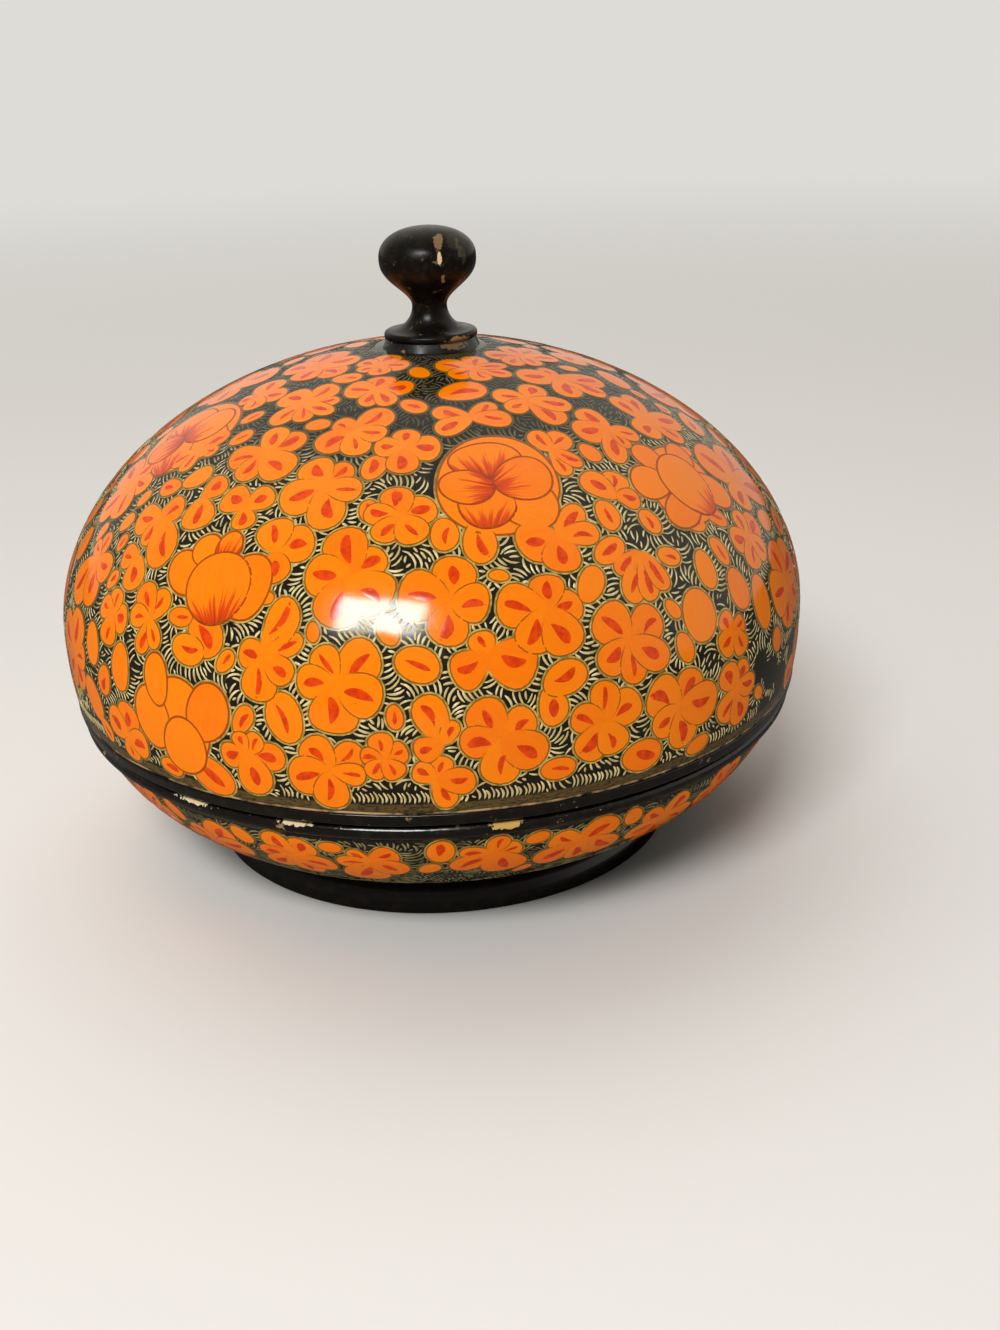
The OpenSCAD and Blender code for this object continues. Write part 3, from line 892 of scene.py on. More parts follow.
# What each shape is. Bare ones are never painted, but keep petals and hatching away
kinds = dict(petal=0, oval=2, dabbed=3, bloom=4, bare=9)
petalForm = dict(
    middle=0.49, half=0.51,     # along the petal, in shares of its length
    flare=0.26, ovalFlare=0.08, bloomFlare=0.06,
    room=1.15, widest=100,      # shares and degrees of the angle to the neighbours
    share=1.42, least=0.54,     # of the length, for the width
    deep=8 * mm, far=20 * mm,   # a petal this far off in depth counts as far away
)


def petalSet(origin, axis, side, out, length, width, taper, owner, kind, redness=0):
    # Each petal runs from its origin along its axis. Full is the length that it may grow to
    none = 0 * length
    return dict(origin=origin, axis=axis, side=side, out=out, length=length, width=width, full=length,
                taper=none + taper, owner=owner, kind=none + kind, redness=none + redness)


def newPetals(skin, longitude, drop, turn, length, width, taper, owner, kind, back=0.0):
    # Back moves the origin back along the axis, so that an oval stands on its middle
    place, east, up, out = standOn(skin, longitude, drop)
    turn = np.radians(turn)[:, None]
    axis = np.cos(turn) * east + np.sin(turn) * up
    side = np.cos(turn) * up - np.sin(turn) * east
    origin = place - axis * np.asarray(back)[..., None]
    return petalSet(origin, axis, side, out, length, width, taper, owner.astype(int), kind)


def joined(*sets):
    return {key: np.concatenate([one[key] for one in sets]) for key in sets[0]}


def chosen(petals, keep):
    return {key: values[keep] for key, values in petals.items()}


def petalGap(x, y, length, width, taper):
    # Distance from a petal's outline, less than nothing inside. The petal is an ellipse from just
    # behind its origin to its tip, wider towards the tip: y = half width * (1 + taper * x') * sin(t)
    u = (x - petalForm["middle"] * length) / (petalForm["half"] * length)
    v = y / (0.5 * width * (1 + taper * np.clip(u, -1.2, 1.2)))
    share = np.hypot(u, v)
    radius = np.hypot(x - petalForm["middle"] * length, y)
    return radius * (1 - 1 / np.maximum(share, 1e-6))


def compare(points, petals, near):
    # Points (n, 3) or (n, m, 3) against the petals (n, k) that near names for each of the n. Gives the
    # gaps, the places along and across the petals, and those petals
    mine = chosen(petals, near)
    if points.ndim == 3:
        mine = {key: values[:, None] for key, values in mine.items()}
    away = points[..., None, :] - mine["origin"]
    along, across, deep = ((away * mine[key]).sum(-1) for key in ("axis", "side", "out"))
    gap = petalGap(along, across, mine["length"], mine["width"], mine["taper"])
    return np.where(np.abs(deep) < petalForm["deep"], gap, petalForm["far"]), along, across, mine


def gapsTo(points, petals, near):
    return compare(points, petals, near)[0]


def middles(petals):
    return petals["origin"] + petals["axis"] * (0.5 * petals["length"])[:, None]


def nearest(points, petals, count, chunk=20000):
    # The petals whose middles lie nearest each point, worked out a chunk of points at a time
    middle = middles(petals)
    count = min(count, len(middle))
    found = []
    for start in range(0, len(points), chunk):
        some = points[start:start + chunk]
        apart = (middle ** 2).sum(1)[None] - 2 * some @ middle.T
        found.append(np.argpartition(apart, count - 1, axis=1)[:, :count])
    return np.concatenate(found)


def petalHalves(petals, t):
    # Half length, and half width at the turns t round the petal's middle
    wide = 0.5 * petals["width"][:, None] * (1 + petals["taper"][:, None] * np.cos(t))
    return petalForm["half"] * petals["length"][:, None], wide


def onPlane(petals, x, y):
    # Points in each petal's tangent plane, x along the petal and y across it
    along = x[..., None] * petals["axis"][:, None]
    return petals["origin"][:, None] + along + y[..., None] * petals["side"][:, None]


def petalEdge(petals, turns, margin=0.0):
    # Points on each petal's outline at the given turns round its middle
    half, wide = petalHalves(petals, turns)
    x = petalForm["middle"] * petals["length"][:, None] + (half + margin) * np.cos(turns)
    return onPlane(petals, x, (wide + margin) * np.sin(turns))


growth = dict(start=0.72, probe=0.8, step=0.2 * mm, rounds=44, gap=0.62 * mm, closest=24)


def growPetals(petals, low, high):
    # All the flowers' petals lengthen together until each meets its neighbours' gap or its full length
    grown = petals["kind"] == kinds["petal"]
    share = petals["width"] / petals["length"]
    petals["length"] = np.where(grown, growth["start"] * petals["full"], petals["length"])
    petals["width"] = share * petals["length"]
    full = dict(petals, length=np.where(grown, growth["probe"] * petals["full"], petals["length"]))
    near = nearest(middles(full), full, growth["closest"])
    others = petals["owner"][near] != petals["owner"][:, None]
    probes = np.linspace(-1.9, 1.9, 11)
    growing = grown.copy()
    for _ in range(growth["rounds"]):
        points = petalEdge(petals, probes)
        clear = np.where(others[:, None, :], gapsTo(points, petals, near), petalForm["far"]).min((1, 2))
        within = (points[..., 2].min(1) > low) & (points[..., 2].max(1) < high)
        growing &= (clear > growth["gap"]) & (petals["length"] < petals["full"]) & within
        petals["length"] = petals["length"] + growing * growth["step"]
        petals["width"] = share * petals["length"]
    return petals


def widthShare(degrees):
    # A petal is as wide as the angle to its neighbours allows: width / length = 1.42 * sin(angle / 2)
    half = np.radians(np.minimum(degrees, petalForm["widest"])) / 2
    return np.clip(petalForm["share"] * np.sin(half), petalForm["least"], 1.0)


# How unevenly the flowers are drawn: what is added to a length in mm, degrees, shares of the width
unevenness = dict(longer=1.07, more=(0.1, 0.7), turn=3, wide=(0.94, 1.04), ovalWide=(0.62, 0.78))


def flowerPetals(skin, flowers, byHeight=False):
    rows = []
    for owner, (longitude, drop, spokes) in enumerate(flowers):
        turns, lengths = np.array(sorted((turn % 360, length) for turn, length in spokes), float).T
        after = np.diff(np.append(turns, turns[0] + 360))
        share = widthShare(np.minimum(after, np.roll(after, 1)) * petalForm["room"])
        drop = float(dropAt(skin, drop * mm)) if byHeight else drop * mm
        for turn, length, wide in zip(turns, lengths, share):
            full = (unevenness["longer"] * length + dice.uniform(*unevenness["more"])) * mm
            turn = turn + dice.uniform(-unevenness["turn"], unevenness["turn"])
            width = full * wide * dice.uniform(*unevenness["wide"])
            rows.append((longitude, drop, turn, full, width, owner))
    longitude, drop, turn, full, width, owner = np.array(rows).T
    return newPetals(skin, longitude, drop, turn, full, width, petalForm["flare"], owner, kinds["petal"])


def ovalPetals(skin, ovals, byHeight=False):
    longitude, drop, half, turn, dab = np.array(ovals, float).T
    drop = dropAt(skin, drop * mm) if byHeight else drop * mm
    length = 2 * half * mm
    width = length * dice.uniform(*unevenness["ovalWide"], len(length))
    owner = 200 + np.arange(len(length))
    return newPetals(skin, longitude, drop, turn, length, width, petalForm["ovalFlare"], owner,
                     kinds["oval"] + dab, back=0.5 * length)


def bloomPetals(skin, blooms):
    # The bloom's own turn swings every petal of it about its middle
    rows = []
    for index, (longitude, drop, swing, design) in enumerate(blooms):
        place, east, up, out = standOn(skin, np.array([float(longitude)]), np.array([drop * mm]))
        angle = math.radians(swing)
        for x, y, half, wide, turn, redness in design:
            dx = (x * math.cos(angle) - y * math.sin(angle)) * mm
            dy = (x * math.sin(angle) + y * math.cos(angle)) * mm
            point = place + dx * east + dy * up
            there = math.radians(turn + swing)
            axis = math.cos(there) * east + math.sin(there) * up
            side = math.cos(there) * up - math.sin(there) * east
            rows.append((point - axis * half * mm, axis, side, out, 2 * half * mm, 2 * wide * mm,
                         300 + index, redness))
    origin, axis, side, out, length, width, owner, redness = (np.array(column) for column in zip(*rows))
    return petalSet(origin[:, 0], axis[:, 0], side[:, 0], out[:, 0], length, width, petalForm["bloomFlare"],
                    owner, kinds["bloom"], redness)


# New flowers stand between two drops and grow between two heights. Then come how far apart they are, how
# long their petals may grow, and for ovals the room that they need and their largest and least half lengths
lidFill = dict(
    drops=(11 * mm, float(dropAt(lidSkin, 32.5 * mm))), heights=(28.4 * mm, 79.5 * mm), spacing=12 * mm,
    reach=(6.2 * mm, 8.2 * mm), room=1.9 * mm, largest=2.8 * mm, least=1.2 * mm, tries=26000,
)
bowlFill = dict(
    drops=(float(dropAt(bowlSkin, 18 * mm)), float(dropAt(bowlSkin, 16 * mm))),
    heights=(8.6 * mm, 22.3 * mm), spacing=13 * mm,
    reach=(5.8 * mm, 7.5 * mm), room=1.9 * mm, largest=2.4 * mm, least=1.2 * mm, tries=9000,
)


strewn = dict(
    counts=[3, 4, 5, 5, 5, 6], clear=0.42, around=0.58,     # petals to a flower, and shares of the spacing
    turn=9,                                                 # degrees that a petal may stand aslant
    margin=0.6 * mm, stretch=1.12, slim=0.74, dabbed=0.6,   # ovals: the last is the share with a dab
)


def fillFree(skin, petals, fill):
    # Scatters new flower middles where there is room, then grows them; ovals go in what is left
    longitude, drop, place = scattered(skin, *fill["drops"], fill["tries"])
    clear = gapsTo(place, petals, nearest(place, petals, 20)).min(-1)
    rows = []
    owner = petals["owner"].max() + 1
    for index in range(len(place)):
        if clear[index] < fill["spacing"] * strewn["clear"]:
            continue
        count = int(dice.choice(strewn["counts"]))
        first = dice.uniform(0, 360)
        share = widthShare(petalForm["room"] * 360 / count)
        for k in range(count):
            full = dice.uniform(*fill["reach"])
            turn = first + k * 360 / count + dice.uniform(-strewn["turn"], strewn["turn"])
            rows.append((longitude[index], drop[index], turn, full, full * share, owner))
        owner += 1
        apart = np.linalg.norm(place - place[index], axis=1)
        clear = np.minimum(clear, apart - fill["spacing"] * strewn["around"])
    if rows:
        *spots, full, width, owners = np.array(rows).T
        fresh = newPetals(skin, *spots, full, width, petalForm["flare"], owners, kinds["petal"])
        petals = joined(petals, fresh)
    petals = growPetals(petals, *fill["heights"])
    clear = gapsTo(place, petals, nearest(place, petals, 20)).min(-1)
    rows = []
    for index in np.argsort(-clear):
        half = min(clear[index] - strewn["margin"], fill["largest"])
        if clear[index] < fill["room"] or half < fill["least"]:
            continue
        turn = dice.uniform(0, 360)
        kind = kinds["dabbed"] if dice.uniform() < strewn["dabbed"] else kinds["oval"]
        rows.append((longitude[index], drop[index], turn, 2 * half, owner, kind))
        owner += 1
        clear = np.minimum(clear, np.linalg.norm(place - place[index], axis=1) - half)
    if rows:
        *spots, length, owners, kind = np.array(rows).T
        length = length * strewn["stretch"]
        fresh = newPetals(skin, *spots, length, length * strewn["slim"], petalForm["ovalFlare"], owners,
                          kind, back=0.5 * length)
        petals = joined(petals, fresh)
    return petals


# Places that stay bare, given as discs: longitude, drop and radius
lidBare = [(54.5, 79, 2), (58.5, 81.5, 2.4), (63, 84, 2.4)]
# Places under them where no petals or hatching are laid, which leaves the lower right dark
lidBareLow = [(57, 87, 2), (61, 88.5, 2.6), (66, 87.5, 2.8), (69, 81.5, 2.8), (59, 92, 1.6), (64, 92.5, 1.6)]


def bareDiscs(skin, discs):
    longitude, drop, radius = np.array(discs, float).T
    length = 2 * radius * mm
    return newPetals(skin, longitude, drop * mm, 0 * length, length, length, 0, 900 + np.arange(len(length)),
                     kinds["bare"], back=0.5 * length)


def seatDisc(radius):
    # The seat of the knob, as a bare disc on the crown
    low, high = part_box("knob")
    middle = np.array([[(low.x + high.x) / 2, 0, low.z - 0.9 * mm]])
    length = np.array([2 * radius])
    return petalSet(middle - [[radius, 0, 0]], np.array([[1.0, 0, 0]]), np.array([[0, 1.0, 0]]),
                    np.array([[0, 0, 1.0]]), length, length, 0, np.array([990]), kinds["bare"])


def layLid():
    flowers = flowerPetals(lidSkin, lidFlowers)
    ovals = ovalPetals(lidSkin, lidOvals)
    blooms = bloomPetals(lidSkin, lidBlooms)
    bare = bareDiscs(lidSkin, lidBare)
    petals = fillFree(lidSkin, joined(flowers, ovals, blooms, bare, seatDisc(8.2 * mm)), lidFill)
    # Petals under these discs are left out, so the black ground shows there
    patches = bareDiscs(lidSkin, lidBareLow)
    near = nearest(middles(petals), patches, len(lidBareLow))
    return joined(chosen(petals, gapsTo(middles(petals), patches, near).min(-1) > 0), patches)


def layBowl():
    flowers = flowerPetals(bowlSkin, bowlFlowers, byHeight=True)
    ovals = ovalPetals(bowlSkin, bowlOvals, byHeight=True)
    return fillFree(bowlSkin, joined(flowers, ovals), bowlFill)


lidPetals = layLid()
bowlPetals = layBowl()
print("petals laid:", len(lidPetals["length"]), "on the lid,", len(bowlPetals["length"]), "on the bowl")

# Plates of paint, and how far each kind stands out from the ground
relief = dict(
    margin=0.25 * mm, marginLift=0.03 * mm, petalLift=0.045 * mm, petalStep=0.008 * mm,
    ownerStep=0.002 * mm, dabLift=0.006 * mm, sunk=0.06 * mm, rimDrop=0.01 * mm, hatchLift=0.034 * mm,
)


def plates(name, skin, petals, outline, lift, shares, material, faded=None, **where):
    # Closed thin plates: rings of the outline shrunk towards the middle and settled on the skin at one
    # lift, a pole, a sunk ring under the rim and a flat bottom. Outline (n, m, 2) is in each petal's
    # axes. Faded says whether a petal's outline fades; margins and dabs have none
    count, sides = outline.shape[:2]
    centre = outline.mean(1, keepdims=True)
    rings = [centre + share * (outline - centre) for share in shares] + [centre, outline]
    lifts = [lift - relief["rimDrop"] * (share == 1) for share in shares] + [lift, 0 * lift - relief["sunk"]]
    flat = np.concatenate(rings, 1)
    heights = [np.repeat(one[:, None], ring.shape[1], 1) for one, ring in zip(lifts, rings)]
    raw = onPlane(petals, flat[..., 0], flat[..., 1])
    outward = np.broadcast_to(petals["out"][:, None], raw.shape)
    points = settle(skin, raw, outward, np.concatenate(heights, 1))[0]
    pole = len(shares) * sides
    foot = pole + 1
    bands = [ringBand(start, start + sides, sides) for start in range(0, pole - sides, sides)]
    quads = np.concatenate(bands + [ringBand(foot, 0, sides)])
    fan = poleFan(pole - sides, pole, sides)
    under = np.arange(foot, foot + sides)[None, ::-1]
    perPlate = flat.shape[1]
    shift = (np.arange(count) * perPlate)[:, None, None]
    faces = [(one[None] + shift).reshape(-1, one.shape[1]) for one in (quads, fan, under)]
    ring = np.zeros(perPlate, int)
    ring[:sides] = 1
    ring[foot:] = 2
    piece = makeMesh(name, points, faces, material, hardRings=np.tile(ring, count), **where)
    if faded is not None:
        across = np.linalg.norm(outline - centre, axis=-1)
        inwards = [across * (1 - share) for share in shares] + [across.min(1)[:, None], 0 * across]
        putVectors(piece, "place", np.concatenate([flat, np.concatenate(inwards, 1)[..., None]], -1) / mm)
        # The outline fades towards the flower's middle, more in some flowers than in others
        inner = 0.24 * (np.sin(7.3 * petals["owner"]) * 0.5 + 0.5)[:, None]
        drawn = np.clip((flat[..., 0] / petals["length"][:, None] - inner) / 0.2, 0, 1)
        drawn = drawn if faded else np.ones(flat.shape[:2])
        seed, redness = (np.broadcast_to(petals[key][:, None], drawn.shape) for key in ("seed", "redness"))
        putVectors(piece, "tone", np.stack([seed, redness, drawn], -1))


def petalOutline(petals, sides, margin=0.0):
    # Outline points in the petal's own axes, with a slow hand-drawn waver
    t = np.linspace(0, 2 * math.pi, sides, endpoint=False)[None]
    half, wide = petalHalves(petals, t)
    two, turnTwo, three, turnThree = petals["wobble"].T[..., None]
    waver = 1 + two * np.sin(2 * t + turnTwo * 6) + three * np.sin(3 * t + turnThree * 6)
    x = petalForm["middle"] * petals["length"][:, None] + half * np.cos(t) * waver + margin * np.cos(t)
    return np.stack([x, wide * np.sin(t) * waver + margin * np.sin(t)], -1)


def paintPetals(label, skin, petals):
    where = dict(body=label, slotName="painted_" + label)
    petals = chosen(petals, petals["kind"] != kinds["bare"])
    count = len(petals["length"])
    petals["wobble"] = dice.uniform(0, 1, (count, 4)) * [0.06, 1, 0.035, 1]
    petals["seed"] = dice.uniform(0, 1, count)
    # Petals of one flower overlap in turn, each a little higher than the last
    order = np.zeros(count)
    for owner in np.unique(petals["owner"]):
        mine = np.flatnonzero(petals["owner"] == owner)
        order[mine] = np.arange(len(mine))
    petals["lift"] = relief["petalLift"] + relief["petalStep"] * order \
        + relief["ownerStep"] * (petals["owner"] % 3)
    bloom, petal = petals["kind"] == kinds["bloom"], petals["kind"] == kinds["petal"]
    shares = (1, 0.86, 0.62, 0.32)
    for part, keep, margin, sides, rings, material, faded in (
            ("Margins", ~bloom, relief["margin"], 20, (1, 0.6), goldPaint, None),
            ("Petals", petal, 0, 20, (1, 0.72), petalPaint, True),
            ("Ovals", ~bloom & ~petal, 0, 20, (1, 0.72), petalPaint, False),
            ("BloomMargins", bloom, relief["margin"], 44, shares, goldPaint, None),
            ("Blooms", bloom, 0, 48, shares, bloomPaint, False)):
        some = chosen(petals, keep)
        lift = np.full(len(some["length"]), relief["marginLift"]) if margin else some["lift"]
        if len(lift):
            plates(label + part, skin, some, petalOutline(some, sides, margin), lift, rings, material, faded,
                   **where)
    some = chosen(petals, petal | (petals["kind"] == kinds["dabbed"]))
    plates(label + "Dabs", skin, some, dabOutline(some), some["lift"] + relief["dabLift"], (1, 0.5), dabPaint,
           **where)


def dabOutline(petals):
    # A red comma in each petal: an ellipse pointed at its inner end and a little bent
    count = len(petals["length"])
    t = np.linspace(0, 2 * math.pi, 16, endpoint=False)[None]
    middle = (petals["length"] * dice.uniform(0.5, 0.62, count))[:, None]
    half = (petals["length"] * dice.uniform(0.21, 0.32, count))[:, None]
    wide = np.clip(petals["width"] * dice.uniform(0.07, 0.18, count), 0.3 * mm, 0.74 * mm)[:, None]
    bend, lean, blunt = (dice.uniform(low, high, count)[:, None]
                         for low, high in ((-0.4, 0.4), (-0.25, 0.25), (-0.25, 0.5)))
    x = half * np.cos(t)
    y = wide * np.sin(t) * np.abs(np.sin(t)) ** 0.35 * (1 + blunt * np.cos(t))
    y = y + bend * x ** 2 / half * 0.8
    return np.stack([middle + x * np.cos(lean) - y * np.sin(lean), x * np.sin(lean) + y * np.cos(lean)], -1)


paintPetals("lid", lidSkin, lidPetals)
paintPetals("bowl", bowlSkin, bowlPetals)
print("petals painted")

# The hatching between the flowers
hatch = dict(
    pitch=0.62 * mm, stations=9, step=0.2 * mm, steps=9, looseSteps=5,
    near=0.36 * mm, apart=0.44 * mm, loose=0.46 * mm, least=0.6 * mm, calm=1.0 * mm,
    start=0.3 * mm, stop=0.26 * mm, room=0.42 * mm, width=0.3 * mm, slant=0.3, bend=0.1,
    widest=4.4 * mm, scatter=150000, looseScatter=120000, closest=18,
    edge=0.1 * mm, facing=0.3, move=0.8 * mm, even=0.12 * mm, narrow=0.32 * mm,     # for channels
    edgeRoom=0.25 * mm, bandRoom=0.3 * mm,
)
middleStation = hatch["stations"] // 2


def channelMiddles(skin, petals, low, high):
    # Points halfway between two petals that face each other, with the direction across the gap. It
    # points from the petal that comes first in the list to the other
    point = scattered(skin, dropAt(skin, high), dropAt(skin, low), hatch["scatter"])[2]
    near = nearest(point, petals, hatch["closest"])
    least = gapsTo(point, petals, near).min(1)
    free = (least > hatch["edge"]) & (least < 0.6 * hatch["widest"])
    point, near = point[free], near[free]
    rows = np.arange(len(point))
    for _ in range(3):
        gap, along, across, mine = compare(point, petals, near)
        x = (along - petalForm["middle"] * mine["length"]) / (petalForm["half"] * mine["length"]) ** 2
        y = across / (0.5 * mine["width"]) ** 2
        away = unit(x[..., None] * mine["axis"] + y[..., None] * mine["side"])
        first = gap.argmin(1)
        facing = (away * away[rows, first][:, None]).sum(-1) < hatch["facing"]
        opposite = np.where(facing, gap, 30 * mm)
        second = opposite.argmin(1)
        gapOne, gapTwo = gap[rows, first], opposite[rows, second]
        heading = unit(away[rows, first] - away[rows, second])
        move = np.clip(0.5 * (gapTwo - gapOne), -hatch["move"], hatch["move"])
        point = settle(skin, point + heading * move[:, None], normalAt(skin, point))[0]
    even = (np.abs(gapOne - gapTwo) < hatch["even"]) & (gapOne > hatch["narrow"]) \
        & (gapOne + gapTwo < hatch["widest"])
    order = np.where(near[rows, first] < near[rows, second], 1, -1)[:, None]
    keep = even & (point[:, 2] > low) & (point[:, 2] < high)
    return point[keep], (heading * order)[keep], near[keep]


def walkAlong(points, pitch):
    # Takes points one pitch apart, each time going on to the nearest one left, so that a channel is
    # followed from end to end
    cells = {}
    keys = np.floor(points / (2 * pitch)).astype(int).tolist()
    places = points.tolist()
    for index, key in enumerate(keys):
        cells.setdefault(tuple(key), []).append(index)
    left = np.ones(len(points), bool)
    around = [(i, j, k) for i in (-1, 0, 1) for j in (-1, 0, 1) for k in (-1, 0, 1)]
    kept = []
    for first in range(len(points)):
        here = first if left[first] else None
        while here is not None:
            kept.append(here)
            a, b, c = keys[here]
            x, y, z = places[here]
            ahead, best = None, (2 * pitch) ** 2
            for i, j, k in around:
                for mate in cells.get((a + i, b + j, c + k), ()):
                    if left[mate]:
                        u, v, w = places[mate]
                        apart = (u - x) ** 2 + (v - y) ** 2 + (w - z) ** 2
                        if apart < pitch ** 2:
                            left[mate] = False
                        elif apart < best:
                            ahead, best = mate, apart
            here = ahead
    return np.array(kept)


def march(skin, petals, point, heading, near, bend, steps, low, high):
    # Walks over the skin from each point until it comes within reach of a petal. Returns the track and
    # the number of steps to the stop, with 0 for one that never stopped
    track = [point]
    stop = np.zeros(len(point), int)
    bend = np.full(len(point), bend)
    for k in range(1, steps + 1):
        moved = point + heading * hatch["step"]
        point, normal = settle(skin, moved, normalAt(skin, moved))
        heading = flattened(heading, normal)
        heading = heading * np.cos(bend)[:, None] + np.cross(normal, heading) * np.sin(bend)[:, None]
        track.append(point)
        met = gapsTo(point, petals, near).min(-1) < hatch["stop"]
        over = (point[:, 2] < low) | (point[:, 2] > high)
        stop = np.where((met | over) & (stop == 0), k, stop)
    return np.stack(track, 1), stop


def resample(track, low, high):
    # Points evenly spaced along each track between two places, both counted in steps
    share = low[:, None] + np.linspace(0, 1, hatch["stations"])[None] * (high - low)[:, None]
    base = np.clip(np.floor(share).astype(int), 0, track.shape[1] - 2)
    part = (share - base)[..., None]
    rows = np.arange(len(track))[:, None]
    return track[rows, base] * (1 - part) + track[rows, base + 1] * part


def twoWays(skin, petals, point, heading, near, steps, low, high):
    # Walks both ways from each point. Returns the paths, the lengths in steps, and which met a petal
    ahead, stopAhead = march(skin, petals, point, heading, near, hatch["bend"], steps, low, high)
    behind, stopBehind = march(skin, petals, point, -heading, near, -hatch["bend"], steps, low, high)
    reachAhead = np.where(stopAhead > 0, stopAhead, steps)
    reachBehind = np.where(stopBehind > 0, stopBehind, steps)
    track = np.concatenate([behind[:, :0:-1], ahead], 1)
    path = resample(track, steps - reachBehind, steps + reachAhead)
    return path, reachAhead + reachBehind, (stopAhead > 0) | (stopBehind > 0)


def shared(place, known, direction):
    # Direction that the known places near each place have in common: the strongest axis of the sum of
    # their outer products, weighted by exp(-distance^2 / (2 * calm^2))
    products = (direction[:, :, None] * direction[:, None, :]).reshape(-1, 9)
    axes = []
    for some in np.array_split(place, 1 + len(place) // 1000):
        apart = ((some[:, None] - known[None]) ** 2).sum(-1)
        total = np.exp(-apart / (2 * hatch["calm"] ** 2)) @ products
        axes.append(np.linalg.eigh(total.reshape(-1, 3, 3))[1][..., 2])
    return np.concatenate(axes)


def slanted(direction, normal, spread):
    # Directions turned over the skin by the hatching's slant, a little unevenly
    slant = hatch["slant"] + dice.uniform(-spread, spread, len(direction))[:, None]
    level = flattened(direction, normal)
    return level * np.cos(slant) + np.cross(normal, level) * np.sin(slant)


def crossStrokes(skin, petals, low, high):
    # Strokes across the channels between petals, slanting and bending alike along a channel
    point, across, near = channelMiddles(skin, petals, low, high)
    kept = walkAlong(point, hatch["pitch"])
    point, across, near = point[kept], across[kept], near[kept]
    axis = shared(point, point, across)
    across = axis * np.where((axis * across).sum(-1) < 0, -1, 1)[:, None]
    heading = slanted(across, normalAt(skin, point), 0.08)
    path, reach, met = twoWays(skin, petals, point, heading, near, hatch["steps"], low, high)
    keep = met & (reach >= 3)
    return path[keep][np.argsort(reach[keep], kind="stable")]


def edgeStrokes(skin, petals, low, high):
    # Strokes that leave the petals' margins, for the wider places
    ring = 2 * math.pi * np.sqrt((petals["length"] ** 2 + petals["width"] ** 2) / 8)
    counts = np.maximum((ring / hatch["pitch"]).astype(int), 6)
    owner = np.repeat(np.arange(len(counts)), counts)
    turn = np.concatenate([np.arange(count) / count * 2 * math.pi for count in counts])
    some = chosen(petals, owner)
    point = petalEdge(some, turn[:, None], hatch["start"])[:, 0]
    leave = unit(point - petalEdge(some, turn[:, None])[:, 0])
    near = nearest(point, petals, 16)
    gap = np.where(near != owner[:, None], gapsTo(point, petals, near), petalForm["far"]).min(-1)
    free = (gap > hatch["edgeRoom"]) & (point[:, 2] > low) & (point[:, 2] < high)
    point, leave, near = point[free], leave[free], near[free]
    normal = normalAt(skin, point)
    point = settle(skin, point, normal)[0]
    heading = slanted(leave, normal, 0.1)
    start = settle(skin, point + heading * hatch["step"], normal)[0]
    track, stop = march(skin, petals, start, heading, near, hatch["bend"], hatch["steps"], low, high)
    track = np.concatenate([point[:, None], track], 1)
    reach = np.where(stop > 0, stop + 1, dice.integers(5, 9, len(stop)))
    keep = (stop != 1) & (stop != 2)
    return resample(track[keep], 0 * reach[keep], reach[keep])


class Crowd:
    # Remembers places in cubes that are as wide as the distance to be kept from them
    def __init__(self, apart, strokes):
        self.apart = apart
        self.cubes = {}
        self.lay(strokes.reshape(-1, 3).tolist())

    def lay(self, places):
        for place in places:
            key = tuple(math.floor(value / self.apart) for value in place)
            self.cubes.setdefault(key, []).append(place)

    def near(self, place):
        x, y, z = place
        a, b, c = (math.floor(value / self.apart) for value in place)
        for i in (a - 1, a, a + 1):
            for j in (b - 1, b, b + 1):
                for k in (c - 1, c, c + 1):
                    for u, v, w in self.cubes.get((i, j, k), ()):
                        if (u - x) ** 2 + (v - y) ** 2 + (w - z) ** 2 < self.apart ** 2:
                            return True
        return False


def addStrokes(taken, fresh, apart):
    # Takes the new strokes in turn. One that comes too near to those already taken is cut back to its
    # longest clear stretch, and is left out where little of it is left
    crowd = Crowd(apart, taken)
    spacing = np.linalg.norm(np.diff(fresh, axis=1), axis=-1).mean(1).tolist()
    kept = []
    for index, places in enumerate(fresh.tolist()):
        run, longest, last = 0, 0, 0
        for station, place in enumerate(places):
            run = 0 if crowd.near(place) else run + 1
            if run > longest:
                longest, last = run, station
        first = last - longest + 1
        if (longest - 1) * spacing[index] >= hatch["least"]:
            kept.append((index, first, last))
            crowd.lay(places[first:last + 1])
    rows, first, last = np.array(kept).T
    return np.concatenate([taken, resample(fresh[rows], first, last)])


def looseStrokes(skin, petals, taken, low, high):
    # Short strokes where the others have left the ground bare
    point = scattered(skin, dropAt(skin, high), dropAt(skin, low), hatch["looseScatter"])[2]
    near = nearest(point, petals, hatch["closest"])
    crowd = Crowd(hatch["loose"], taken)
    rows = []
    for index in np.flatnonzero(gapsTo(point, petals, near).min(1) > hatch["room"]).tolist():
        place = point[index].tolist()
        if not crowd.near(place):
            crowd.lay([place])
            rows.append(index)
    point, near = point[rows], near[rows]
    heading = shared(point, taken[:, middleStation], unit(taken[:, -1] - taken[:, 0]))
    heading = flattened(heading, normalAt(skin, point))
    return twoWays(skin, petals, point, heading, near, hatch["looseSteps"], low, high)[0]


